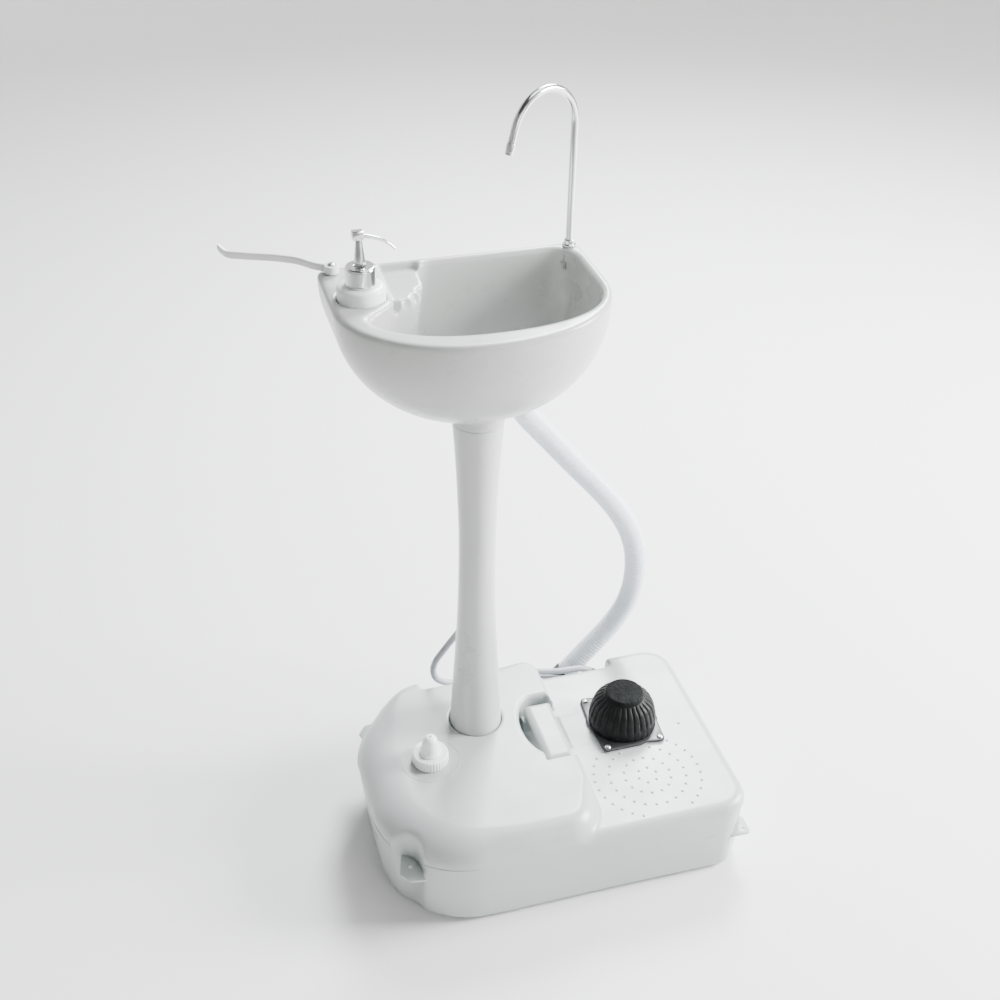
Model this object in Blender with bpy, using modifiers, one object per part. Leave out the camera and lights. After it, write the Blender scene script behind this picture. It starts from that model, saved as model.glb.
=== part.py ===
"""Portable handwash sink: a blow-moulded water tank used as the base, a waisted
column, a D-shaped bowl with a gooseneck spout, a soap pump and a towel arm, and a
foot pump that lifts water from the tank to the spout.

Units are metres and +Z is up.  The origin is the middle of the tank's underside,
+X runs along the tank towards the pump deck, -Y is the user's side."""

import math

import bmesh
import bpy
import numpy as np
from mathutils import Matrix, Vector

# ----------------------------------------------------------------- dimensions
GAP = 0.0003                     # clearance between touching pieces

TANK_X0, TANK_X1 = -0.2560, 0.2560   # tank ends
TANK_HALF_W = 0.1700             # half width at the parting line
PARTING_Z = 0.1120               # height of the parting line
DRAFT = 0.0055                   # how far the sides lean in below it
TANK_R_LEFT = 0.128              # plan radius of the two left corners
TANK_R_RIGHT = 0.042             # plan radius of the two right corners
DECK_Z = 0.1260                  # top of the low pump deck
BLOCK_Z = 0.1510                 # top of the tall part
BLOCK_X1 = 0.0420                # right side of the tall part
BLOCK_R_RIGHT = 0.036
TOP_ROUND = 0.026                # rounding of the tall part's top edge
DECK_ROUND = 0.014
BASE_ROUND = 0.010
WALL = 0.0045                    # moulded wall

COL_X, COL_Y = -0.0790, 0.0680   # column axis
COL_Z0, COL_Z1 = 0.1320, 0.6560
COL_WALL = 0.0032
SOCKET_R = 0.0381

RIM_Z = 0.8144                   # top of the bowl's rim
BOWL_A = 0.1683                  # half width of the bowl
BOWL_CX = -0.0790
BOWL_BACK_Y = 0.2070
BOWL_MID_Y = 0.1000              # where the straight sides turn into the round front
BOWL_FRONT_B = 0.1350            # depth of the round front
BOWL_BOTTOM_Z = 0.6690
BOWL_M = 2.25                    # roundness of the bowl's side profile
RIM_ROUND = 0.0060
NECK_R, NECK_Z = 0.0335, 0.6563

BASIN_CX, BASIN_A = -0.0705, 0.1465
BASIN_BACK_Y, BASIN_MID_Y, BASIN_FRONT_B = 0.1935, 0.0900, 0.0930
BASIN_FLOOR_Z = 0.7000
DRAIN_X, DRAIN_Y = -0.0040, 0.1220
DRAIN_R = 0.0185
BOSS_Z = 0.6680                  # underside of the drain boss

SOAP_X, SOAP_Y = -0.2080, 0.1190
SOAP_R = 0.0287
SOAP_FLOOR_Z = 0.7480

FAUCET_X, FAUCET_Y = 0.0746, 0.1950
FAUCET_TUBE_R = 0.00475
FAUCET_TOP_Z = 1.0300
FAUCET_ARC_A, FAUCET_ARC_B = 0.0525, 0.0520   # reach and height of the bend
FAUCET_ANGLE = math.radians(208.0)

PIVOT_X, PIVOT_Y = -0.2300, 0.1890
ARM_Z0, ARM_Z1 = 0.8155, 0.8255

CAP_X, CAP_Y = -0.1625, 0.0030
CAP_R = 0.0255

PUMP_X, PUMP_Y = 0.1330, 0.0268
PUMP_SCREW_DX, PUMP_SCREW_DY = 0.0400, 0.0490
WELL_R, WELL_Z = 0.0370, 0.0820
RECESS_Y = 0.1470                # rear wall of the hose recess in the deck
RECESS_X0, RECESS_X1 = 0.0480, 0.1560
NOTCH_X0, NOTCH_X1 = -0.1400, -0.0450

HANDLE_X0, HANDLE_X1 = -0.0040, 0.0360
HANDLE_Y0, HANDLE_Y1 = -0.0390, 0.0740
HANDLE_Z0, HANDLE_TOP_Z = 0.1268, 0.1500

HOSE_R = 0.0165                  # corrugated drain hose
LINE_R = 0.00485                 # water line

# ------------------------------------------------------------------ the scene
for _old in list(bpy.data.objects):
    bpy.data.objects.remove(_old, do_unlink=True)

PARTS = bpy.data.collections.new("portable_handwash_sink")
CUTTERS = bpy.data.collections.new("cutters")
for _c in (PARTS, CUTTERS):
    bpy.context.scene.collection.children.link(_c)


def material(name, colour, rough, metal=0.0, alpha=1.0):
    mat = bpy.data.materials.new(name)
    mat.use_nodes = True
    bsdf = mat.node_tree.nodes["Principled BSDF"]
    bsdf.inputs["Base Color"].default_value = (*colour, 1.0)
    bsdf.inputs["Roughness"].default_value = rough
    bsdf.inputs["Metallic"].default_value = metal
    bsdf.inputs["Alpha"].default_value = alpha
    mat.diffuse_color = (*colour, 1.0)
    return mat


LOOKS = {
    "shell": ((0.80, 0.83, 0.82), 0.38, 0.0),
    "white": ((0.90, 0.91, 0.91), 0.28, 0.0),
    "chrome": ((0.80, 0.80, 0.81), 0.12, 1.0),
    "steel": ((0.62, 0.62, 0.63), 0.30, 1.0),
    "rubber": ((0.02, 0.02, 0.022), 0.62, 0.0),
    "black": ((0.03, 0.03, 0.032), 0.45, 0.0),
    "hose": ((0.74, 0.79, 0.86), 0.35, 0.0),
    "line": ((0.42, 0.43, 0.46), 0.35, 0.0),
}


def finish(obj, look, smooth=True):
    """Gives a piece its own material, and smooth shading with sharp corners kept."""
    colour, rough, metal = LOOKS[look]
    obj.data.materials.clear()
    obj.data.materials.append(material(obj.name, colour, rough, metal))
    if smooth and obj.type == "MESH":
        obj.data.shade_smooth()
        obj.data.set_sharp_from_angle(angle=math.radians(35))
    return obj


def add_mesh(name, bm, collection=PARTS, at=(0, 0, 0), normals=True):
    if normals:
        bmesh.ops.recalc_face_normals(bm, faces=bm.faces)
    mesh = bpy.data.meshes.new(name)
    bm.to_mesh(mesh)
    bm.free()
    obj = bpy.data.objects.new(name, mesh)
    obj.location = at
    collection.objects.link(obj)
    if collection is CUTTERS:
        obj.hide_render = True
        obj.display_type = "WIRE"
    return obj


def boolean(obj, other, operation="DIFFERENCE"):
    mod = obj.modifiers.new(operation.lower() + "_" + other.name, "BOOLEAN")
    mod.operation = operation
    mod.object = other
    mod.solver = "EXACT"
    return mod


# ------------------------------------------------------------- shape helpers
def arc(cx, cy, r, a0, a1, n):
    return [(cx + r * math.cos(math.radians(a0 + (a1 - a0) * i / n)),
             cy + r * math.sin(math.radians(a0 + (a1 - a0) * i / n))) for i in range(n + 1)]


def rounded_plan(x0, x1, y0, y1, r_left, r_right, n_left=6, n_right=4):
    """Counter-clockwise outline of a box with its own radius at each end."""
    return (arc(x1 - r_right, y0 + r_right, r_right, -90, 0, n_right)
            + arc(x1 - r_right, y1 - r_right, r_right, 0, 90, n_right)
            + arc(x0 + r_left, y1 - r_left, r_left, 90, 180, n_left)
            + arc(x0 + r_left, y0 + r_left, r_left, 180, 270, n_left))


def prism(outline, z0, z1, top=0.0, bottom=0.0, segments=3):
    """Upright prism over an outline, its top and bottom edges rounded."""
    bm = bmesh.new()
    verts = [bm.verts.new((x, y, z0)) for x, y in outline]
    face = bm.faces.new(verts)
    out = bmesh.ops.extrude_face_region(bm, geom=[face])
    moved = [e for e in out["geom"] if isinstance(e, bmesh.types.BMVert)]
    bmesh.ops.translate(bm, verts=moved, vec=(0, 0, z1 - z0))
    for z, size in ((z1, top), (z0, bottom)):
        if size > 0:
            edges = [e for e in bm.edges if all(abs(v.co.z - z) < 1e-6 for v in e.verts)]
            bmesh.ops.bevel(bm, geom=edges, offset=size, segments=segments, profile=0.5,
                            affect="EDGES", clamp_overlap=True)
    return bm


def box(x0, x1, y0, y1, z0, z1):
    bm = bmesh.new()
    bmesh.ops.create_cube(bm, size=1.0)
    bmesh.ops.scale(bm, verts=bm.verts, vec=(x1 - x0, y1 - y0, z1 - z0))
    bmesh.ops.translate(bm, verts=bm.verts, vec=((x0 + x1) / 2, (y0 + y1) / 2, (z0 + z1) / 2))
    return bm


def cylinder(r, z0, z1, n=24, r_top=None, centre=(0, 0)):
    bm = bmesh.new()
    bmesh.ops.create_cone(bm, cap_ends=True, segments=n, radius1=r,
                          radius2=r if r_top is None else r_top, depth=z1 - z0)
    bmesh.ops.translate(bm, verts=bm.verts, vec=(centre[0], centre[1], (z0 + z1) / 2))
    return bm


def turned(name, profile, look, at=(0, 0, 0), steps=20, closed=True, rotation=None):
    """Turned piece: the profile runs down the outer side, then back up inside."""
    mesh = bpy.data.meshes.new(name)
    pts = [(r, 0.0, z) for r, z in profile]
    edges = [(i, i + 1) for i in range(len(pts) - 1)]
    if closed:
        edges.append((len(pts) - 1, 0))
    mesh.from_pydata(pts, edges, [])
    obj = bpy.data.objects.new(name, mesh)
    obj.location = at
    if rotation is not None:
        obj.rotation_mode = "QUATERNION"
        obj.rotation_quaternion = rotation
    PARTS.objects.link(obj)
    screw = obj.modifiers.new("turn", "SCREW")
    screw.axis = "Z"
    screw.angle = 2 * math.pi
    screw.steps = steps
    screw.render_steps = steps
    screw.use_merge_vertices = True
    screw.merge_threshold = 0.00001
    screw.use_smooth_shade = True
    finish(obj, look, smooth=False)
    return obj


def tube_curve(name, points, radius, look, resolution=2, collection=PARTS):
    curve = bpy.data.curves.new(name, "CURVE")
    curve.dimensions = "3D"
    curve.bevel_depth = radius
    curve.bevel_resolution = resolution
    curve.use_fill_caps = True
    curve.twist_mode = "MINIMUM"
    spline = curve.splines.new("POLY")
    spline.points.add(len(points) - 1)
    for p, q in zip(spline.points, points):
        p.co = (*q, 1.0)
    obj = bpy.data.objects.new(name, curve)
    collection.objects.link(obj)
    if look:
        finish(obj, look, smooth=False)
    return obj


def tube_mesh(name, points, radius, look, resolution=2, collection=PARTS):
    """The same tube as a mesh, so that it can be cut or joined."""
    obj = tube_curve(name + "_path", points, radius, None, resolution, collection)
    bpy.context.view_layer.update()
    graph = bpy.context.evaluated_depsgraph_get()
    mesh = bpy.data.meshes.new_from_object(obj.evaluated_get(graph))
    matrix = obj.matrix_world.copy()
    old = obj.data
    bpy.data.objects.remove(obj, do_unlink=True)
    bpy.data.curves.remove(old)
    bm = bmesh.new()
    bm.from_mesh(mesh)
    bmesh.ops.remove_doubles(bm, verts=bm.verts, dist=1e-6)
    bmesh.ops.recalc_face_normals(bm, faces=bm.faces)
    bm.to_mesh(mesh)
    bm.free()
    mesh.name = name
    out = bpy.data.objects.new(name, mesh)
    out.matrix_world = matrix
    collection.objects.link(out)
    if collection is CUTTERS:
        out.hide_render = True
        out.display_type = "WIRE"
    if look:
        finish(out, look)
    return out


def spline_through(points, count):
    """Evenly spaced points of one smooth curve (centripetal Catmull-Rom) through the route."""
    p = [Vector(q) for q in points]
    p = [2 * p[0] - p[1]] + p + [2 * p[-1] - p[-2]]
    fine = []
    for i in range(1, len(p) - 2):
        a, b, c, d = p[i - 1:i + 3]
        t0 = 0.0
        t1 = t0 + math.sqrt((b - a).length)
        t2 = t1 + math.sqrt((c - b).length)
        t3 = t2 + math.sqrt((d - c).length)
        for k in range(24):
            t = t1 + (t2 - t1) * k / 24
            a1 = a * ((t1 - t) / (t1 - t0)) + b * ((t - t0) / (t1 - t0))
            a2 = b * ((t2 - t) / (t2 - t1)) + c * ((t - t1) / (t2 - t1))
            a3 = c * ((t3 - t) / (t3 - t2)) + d * ((t - t2) / (t3 - t2))
            b1 = a1 * ((t2 - t) / (t2 - t0)) + a2 * ((t - t0) / (t2 - t0))
            b2 = a2 * ((t3 - t) / (t3 - t1)) + a3 * ((t - t1) / (t3 - t1))
            fine.append(b1 * ((t2 - t) / (t2 - t1)) + b2 * ((t - t1) / (t2 - t1)))
    fine.append(p[-2])
    run = [0.0]
    for q, r in zip(fine, fine[1:]):
        run.append(run[-1] + (r - q).length)
    out = []
    for k in range(count):
        s = run[-1] * k / (count - 1)
        j = min(int(np.searchsorted(run, s, side="right")) - 1, len(fine) - 2)
        f = (s - run[j]) / max(run[j + 1] - run[j], 1e-12)
        out.append(fine[j].lerp(fine[j + 1], f))
    return out


def hose_line(route, count, stub=0.003):
    """Points of a hose along a route, with a short straight end square to each fitting."""
    first, last = Vector(route[0]), Vector(route[-1])
    head = (Vector(route[1]) - first).normalized() * stub
    tail = (Vector(route[-2]) - last).normalized() * stub
    return [first, first + head] + spline_through(route, count)[1:-1] + [last + tail, last]


def loft(sections):
    """Skin over rings of equal point count, closed by a flat face at each end."""
    bm = bmesh.new()
    rings = [[bm.verts.new(p) for p in s] for s in sections]
    n = len(rings[0])
    bm.faces.new(rings[0])
    for a, b in zip(rings, rings[1:]):
        for i in range(n):
            bm.faces.new((a[i], a[(i + 1) % n], b[(i + 1) % n], b[i]))
    bm.faces.new(list(reversed(rings[-1])))
    return bm


# --------------------------------------------------------------------- tank
def deck_outline(inset=0.0):
    return rounded_plan(-0.060 + inset, TANK_X1 - inset, -TANK_HALF_W + inset, TANK_HALF_W - inset, 0.020,
                        TANK_R_RIGHT - inset, 1, 4)


def block_outline(inset=0.0):
    return rounded_plan(TANK_X0 + inset, BLOCK_X1 - inset, -TANK_HALF_W + inset, TANK_HALF_W - inset,
                        TANK_R_LEFT - inset, BLOCK_R_RIGHT - inset)


def moulded(outline, z1, top, segments):
    """Box-like moulding: sides that lean out up to the parting line, then rise straight to a rounded top."""
    def ring(inset, z):
        return [(x, y, z) for x, y in outline(inset)]

    rings = []
    for i in range(3):
        a = math.radians(45 * i)
        rings.append(ring(DRAFT + BASE_ROUND * (1 - math.sin(a)), BASE_ROUND * (1 - math.cos(a))))
    rings.append(ring(0.0, PARTING_Z))
    for i in range(0 if z1 - top > PARTING_Z + 1e-6 else 1, segments + 1):
        a = math.radians(90 * i / segments)
        rings.append(ring(top * (1 - math.cos(a)), z1 - top * (1 - math.sin(a))))
    return loft(rings)


tank = add_mesh("tank_body", moulded(block_outline, BLOCK_Z, TOP_ROUND, 3))
deck = add_mesh("deck_shape", moulded(deck_outline, DECK_Z, DECK_ROUND, 2), CUTTERS)
boolean(tank, deck, "UNION")
neck = add_mesh("filler_neck_shape", cylinder(0.0195, BLOCK_Z - 0.006, BLOCK_Z + 0.0105, 20,
                                              centre=(CAP_X, CAP_Y)), CUTTERS)
boolean(tank, neck, "UNION")

# corner grooves, each with a holed tab left in it
CORNERS = {
    "fl": ((-0.2355, -0.1289), 0.0258, 0.165, 0.0920),
    "rl": ((-0.2355, 0.1289), 0.0258, 0.128, 0.0920),
    "fr": ((0.2590, -0.1690), 0.0260, 0.104, 0.0590),
    "rr": ((0.2590, 0.1690), 0.0260, 0.104, 0.0590),
}
for key, ((gx, gy), gr, gz, tab_z) in CORNERS.items():
    groove = add_mesh("groove_" + key, cylinder(gr, -0.01, gz, 16, r_top=gr - (0.004 if gx > 0 else 0.0), centre=(gx, gy)), CUTTERS)
    boolean(tank, groove)
for key, ((gx, gy), gr, gz, tab_z) in CORNERS.items():
    sx, sy = (1 if gx > 0 else -1), (1 if gy > 0 else -1)
    if gx < 0:
        pts = [(gx + dx, gy + sy * dy) for dx, dy in ((-0.0037, -0.0057), (0.0175, 0.0244), (0.0270, 0.0081),
                                                      (0.0270, -0.0239), (0.0065, -0.0359))]
        if sy > 0:
            pts = pts[::-1]
        hole = (gx + 0.0125, gy + sy * 0.0031)
    else:
        pts = [(gx + 0.0005, gy - sy * 0.034), (gx - 0.0005, gy - sy * 0.0035), (gx - 0.0040, gy - sy * 0.0005),
               (gx - 0.034, gy - sy * 0.0008), (gx - 0.042, gy - sy * 0.020), (gx - 0.020, gy - sy * 0.042)]
        hole = (gx - 0.0090, gy - sy * 0.0090)
        if sy > 0:
            pts = pts[::-1]
    tab = add_mesh("tab_" + key, prism(pts, tab_z, tab_z + 0.0034), CUTTERS)
    boolean(tank, tab, "UNION")
    bore = add_mesh("tab_hole_" + key, cylinder(0.0027, tab_z - 0.01, tab_z + 0.012, 10, centre=hole), CUTTERS)
    boolean(tank, bore)

# column socket, handle scoop, hose recess, notch, pump well
socket = add_mesh("socket", cylinder(SOCKET_R, COL_Z0 - GAP, 0.17, 24, centre=(COL_X, COL_Y)), CUTTERS)
boolean(tank, socket)


def scoop_outline(grow=0.0):
    """D-shaped hand recess, straight on the side of the grip bar's outer edge."""
    pts = []
    for i in range(9):
        t = math.radians(90 + 180 * i / 8)
        pts.append((0.0140 + (0.0350 + grow) * math.cos(t), 0.0290 + (0.0600 + grow) * math.sin(t)))
    return [(0.0365 + grow, 0.0290 - 0.0600 - grow)] + [(0.0365 + grow, 0.0290 + 0.0600 + grow)] + pts


scoop = add_mesh("hand_scoop", prism(scoop_outline(), 0.1080, 0.17), CUTTERS)
boolean(tank, scoop)
boolean(tank, add_mesh("bar_pedestal", box(-0.0080, 0.0395, 0.0600, 0.0765, 0.1045, HANDLE_Z0 - GAP), CUTTERS), "UNION")
slot = add_mesh("hand_slot", box(0.030, 0.070, HANDLE_Y0 - GAP, HANDLE_Y1 + GAP, 0.1285, 0.17), CUTTERS)
boolean(tank, slot)
seat_front = add_mesh("bar_seat_front", box(HANDLE_X0 - GAP, 0.070, HANDLE_Y0 - GAP, -0.005,
                                            HANDLE_Z0 - GAP, 0.17), CUTTERS)
boolean(tank, seat_front)
boolean(tank, add_mesh("bar_seat_rear", box(0.030, 0.070, 0.0600, HANDLE_Y1 + GAP, HANDLE_Z0 - GAP, 0.17), CUTTERS))
recess = add_mesh("hose_recess", box(RECESS_X0, RECESS_X1, RECESS_Y, 0.20, -0.01, 0.20), CUTTERS)
boolean(tank, recess)
notch = add_mesh("line_notch", box(NOTCH_X0, NOTCH_X1, 0.1480, 0.20, -0.01, 0.20), CUTTERS)
boolean(tank, notch)
well = add_mesh("pump_well", cylinder(WELL_R, WELL_Z, 0.14, 24, centre=(PUMP_X, PUMP_Y)), CUTTERS)
boolean(tank, well)
for key, px in (("in", PUMP_X - 0.0130), ("out", PUMP_X + 0.0130)):
    bm = cylinder(0.0051, -0.070, 0.070, 12)
    bmesh.ops.rotate(bm, verts=bm.verts, matrix=Matrix.Rotation(math.radians(90), 3, "X"))
    bmesh.ops.translate(bm, verts=bm.verts, vec=(px, 0.1100, 0.0980))
    boolean(tank, add_mesh("line_bore_" + key, bm, CUTTERS))
for i, (sx, sy) in enumerate(((-1, 1), (-1, -1), (1, -1), (1, 1))):
    hole = add_mesh("screw_hole_%d" % i, cylinder(0.0016, 0.112, 0.14, 8,
                    centre=(PUMP_X + sx * PUMP_SCREW_DX, PUMP_Y + sy * PUMP_SCREW_DY)), CUTTERS)
    boolean(tank, hole)

# the water space, reached through the filler neck
SIDE = WALL + DRAFT
inner = add_mesh("water_space", prism(rounded_plan(TANK_X0 + SIDE, TANK_X1 - SIDE, -TANK_HALF_W + SIDE,
                                                   TANK_HALF_W - SIDE, TANK_R_LEFT - SIDE,
                                                   TANK_R_RIGHT - SIDE, 4, 2),
                                      WALL, DECK_Z - WALL, top=0.006, bottom=0.006, segments=1), CUTTERS)
inner_block = add_mesh("water_space_block", prism(rounded_plan(TANK_X0 + SIDE + 0.0010, BLOCK_X1 - WALL,
                                                               -TANK_HALF_W + SIDE + 0.0010,
                                                               TANK_HALF_W - SIDE - 0.0010,
                                                               TANK_R_LEFT - SIDE, BLOCK_R_RIGHT - WALL, 4, 2),
                                                  0.03, BLOCK_Z - WALL, top=0.019, segments=2), CUTTERS)
boolean(inner, inner_block, "UNION")


def keep_solid(name, bm):
    boolean(inner, add_mesh("keep_" + name, bm, CUTTERS))


keep_solid("socket", cylinder(SOCKET_R + WALL, COL_Z0 - WALL, 0.20, 20, centre=(COL_X, COL_Y)))
keep_solid("scoop", prism(scoop_outline(WALL), 0.1080 - WALL, 0.20))
keep_solid("scoop_side", box(0.018, 0.070, -0.045, 0.095, 0.1080 - WALL, 0.20))
keep_solid("recess", box(RECESS_X0 - WALL, RECESS_X1 + WALL, RECESS_Y - WALL, 0.25, -0.02, 0.25))
keep_solid("notch", box(NOTCH_X0 - WALL, NOTCH_X1 + WALL, 0.1480 - WALL, 0.25, -0.02, 0.25))
keep_solid("well", cylinder(WELL_R + WALL, WELL_Z - WALL, 0.20, 16, centre=(PUMP_X, PUMP_Y)))
keep_solid("bores", box(PUMP_X - 0.024, PUMP_X + 0.024, 0.030, 0.25, 0.086, 0.20))
keep_solid("pump_rim", box(PUMP_X - 0.052, PUMP_X + 0.052, -0.034, 0.088, 0.104, 0.20))
for key, ((gx, gy), gr, gz, tab_z) in CORNERS.items():
    keep_solid("groove_" + key, cylinder(gr + 0.0105, -0.02, gz + WALL, 12, centre=(gx, gy)))
    keep_solid("tab_" + key, cylinder(0.052 if gx > 0 else 0.044, tab_z - WALL, tab_z + 0.0034 + WALL, 12,
                                      centre=(gx, gy)))
boolean(tank, inner)
filler = add_mesh("filler_bore", cylinder(0.0160, BLOCK_Z - 0.020, BLOCK_Z + 0.03, 20, centre=(CAP_X, CAP_Y)), CUTTERS)
boolean(tank, filler)
outlet_bore = cylinder(0.0052, -0.012, 0.012, 12)
bmesh.ops.rotate(outlet_bore, verts=outlet_bore.verts, matrix=Matrix.Rotation(math.radians(90), 3, "X"))
bmesh.ops.translate(outlet_bore, verts=outlet_bore.verts, vec=(-0.112, 0.1440, 0.0980))
boolean(tank, add_mesh("outlet_bore", outlet_bore, CUTTERS))
finish(tank, "shell")

# ------------------------------------------------------------- carry handle
bar = add_mesh("carry_handle", prism(rounded_plan(HANDLE_X0, HANDLE_X1, HANDLE_Y0, HANDLE_Y1, 0.006, 0.006, 2, 2),
                                     HANDLE_Z0, HANDLE_TOP_Z, top=0.0075, segments=2))
under = add_mesh("bar_underside", box(-0.02, 0.06, -0.0290, 0.0620, 0.10, 0.1345), CUTTERS)
boolean(bar, under)
finish(bar, "shell")

# ---------------------------------------------------------------- filler cap
turned("filler_gasket", [(0.0192, BLOCK_Z + 0.0128), (0.0192, BLOCK_Z + 0.0108), (0.0162, BLOCK_Z + 0.0108),
                         (0.0162, BLOCK_Z + 0.0128)], "rubber", (CAP_X, CAP_Y, 0), 20)
cap = turned("filler_cap", [(0.0165, BLOCK_Z + 0.0160), (0.0235, BLOCK_Z + 0.0160), (CAP_R, BLOCK_Z + 0.0145),
                            (CAP_R, BLOCK_Z + 0.0008), (0.0200, BLOCK_Z + 0.0008), (0.0200, BLOCK_Z + 0.0131),
                            (0.0060, BLOCK_Z + 0.0131), (0.0060, BLOCK_Z + 0.0160)],
             "white", (CAP_X, CAP_Y, 0), 24)
turned("filler_nozzle", [(0.0020, BLOCK_Z + 0.0460), (0.0050, BLOCK_Z + 0.0452), (0.0088, BLOCK_Z + 0.0405),
                         (0.0108, BLOCK_Z + 0.0330), (0.0128, BLOCK_Z + 0.0215), (0.0152, BLOCK_Z + 0.0190),
                         (0.0155, BLOCK_Z + 0.0163), (0.0057, BLOCK_Z + 0.0163), (0.0057, BLOCK_Z + 0.0300),
                         (0.0020, BLOCK_Z + 0.0330)], "white", (CAP_X, CAP_Y, 0), 16)

# ------------------------------------------------------------------- column
COLUMN_RADII = [(0.6560, 0.0330), (0.6200, 0.0306), (0.5700, 0.0276), (0.4900, 0.0250), (0.3660, 0.0261),
                (0.2630, 0.0308), (0.1700, 0.0362), (0.1320, 0.0373)]
profile = [(r, z) for z, r in COLUMN_RADII]
profile += [(r - COL_WALL, z) for z, r in reversed(COLUMN_RADII)]
turned("column", profile, "shell", (COL_X, COL_Y, 0), 24)


# --------------------------------------------------------------------- bowl
def d_plan(cx, a, mid_y, front_b, back_y, corner, n_front, n_corner, power=2.12):
    """D-shaped outline: a round front, straight sides and a straight back."""
    pts = []
    for i in range(n_front + 1):
        t = math.pi + math.pi * i / n_front
        c, s = math.cos(t), math.sin(t)
        pts.append((cx + a * math.copysign(abs(c) ** (2 / power), c),
                    mid_y + front_b * math.copysign(abs(s) ** (2 / power), s)))
    pts += arc(cx + a - corner, back_y - corner, corner, 0, 90, n_corner)
    pts += arc(cx - a + corner, back_y - corner, corner, 90, 180, n_corner)
    return pts


def shrink(outline, centre, k):
    return [(centre[0] + (x - centre[0]) * k, centre[1] + (y - centre[1]) * k) for x, y in outline]


def bowl_sections(offset=0.0, top_z=RIM_Z, n_front=18, n_corner=2, levels=8):
    """Rings of the bowl's outer form; offset > 0 draws them inwards."""
    outline = d_plan(BOWL_CX, BOWL_A - offset, BOWL_MID_Y, BOWL_FRONT_B - offset, BOWL_BACK_Y - offset,
                     0.012, n_front, n_corner)
    centre = (COL_X, COL_Y)
    out = []
    if offset == 0.0:
        for k in (0.0, 0.5):
            a = math.radians(90 * k)
            scale = 1 - RIM_ROUND * (1 - math.sin(a)) / BOWL_A
            out.append([(x, y, top_z - RIM_ROUND * (1 - math.cos(a))) for x, y in shrink(outline, centre, scale)])
    start = top_z - (RIM_ROUND if offset == 0.0 else 0.0)
    base = RIM_Z - RIM_ROUND
    depth = base - BOWL_BOTTOM_Z - offset
    for i in range(levels):
        q = math.radians(4 + 78 * i / (levels - 1)) if i else 0.0
        k = math.cos(q) ** (2 / BOWL_M)
        z = base - depth * math.sin(q) ** (2 / BOWL_M)
        if offset > 0 and i and z > start - 0.002:
            continue
        z = start if i == 0 else z
        out.append([(x, y, z) for x, y in shrink(outline, centre, k)])
    k = 0.12
    out.append([(x, y, BOWL_BOTTOM_Z + offset) for x, y in shrink(outline, centre, k)])
    return out


def basin_sections(offset=0.0, top_z=RIM_Z + 0.004, n_front=16, n_corner=3, levels=7):
    """Rings of the wash basin; offset > 0 pushes them outwards."""
    outline = d_plan(BASIN_CX, BASIN_A + offset, BASIN_MID_Y, BASIN_FRONT_B + offset, BASIN_BACK_Y + offset,
                     0.034, n_front, n_corner, 2.3)
    out = [[(x, y, top_z) for x, y in outline]]
    for i in range(levels):
        q = math.radians(6 + 72 * i / (levels - 1))
        k = math.cos(q) ** (2 / 2.5)
        z = RIM_Z - (RIM_Z - BASIN_FLOOR_Z + offset) * math.sin(q) ** (2 / 2.5)
        centre = (BASIN_CX + (DRAIN_X - BASIN_CX) * (1 - k) ** 0.9, BASIN_MID_Y + (DRAIN_Y - BASIN_MID_Y) * (1 - k))
        ring = [((x - BASIN_CX) * k + centre[0], (y - BASIN_MID_Y) * k + centre[1]) for x, y in outline]
        out.append([(x, y, z) for x, y in ring])
    k = 0.19
    out.append([((x - BASIN_CX) * k + DRAIN_X, (y - BASIN_MID_Y) * k + DRAIN_Y, BASIN_FLOOR_Z - offset)
                for x, y in outline])
    return out


bowl = add_mesh("bowl", loft(bowl_sections()))
collar = add_mesh("bowl_neck", cylinder(NECK_R, NECK_Z, 0.700, 24, centre=(COL_X, COL_Y)), CUTTERS)
boolean(bowl, collar, "UNION")
spigot = add_mesh("bowl_spigot", cylinder(0.0278 - 0.004, 0.6000, 0.665, 24, r_top=0.0278, centre=(COL_X, COL_Y)), CUTTERS)
boolean(bowl, spigot, "UNION")
boss = add_mesh("drain_boss", cylinder(0.0290, BOSS_Z, 0.715, 20, centre=(DRAIN_X, DRAIN_Y)), CUTTERS)
boolean(bowl, boss, "UNION")
basin = add_mesh("basin_space", loft(basin_sections()), CUTTERS)
# the soap corner is an island that stands in the basin's left rear quarter
island = add_mesh("soap_island", prism([(-0.262, 0.216), (-0.262, 0.070), (-0.218, 0.069), (-0.208, 0.0715),
                                        (-0.194, 0.081), (-0.183, 0.091), (-0.176, 0.106), (-0.172, 0.120),
                                        (-0.170, 0.135), (-0.161, 0.132), (-0.148, 0.121), (-0.135, 0.134),
                                        (-0.129, 0.147), (-0.130, 0.184), (-0.110, 0.216)][::-1],
                                       0.60, 0.84), CUTTERS)
boolean(basin, island)
boolean(bowl, basin)
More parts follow.
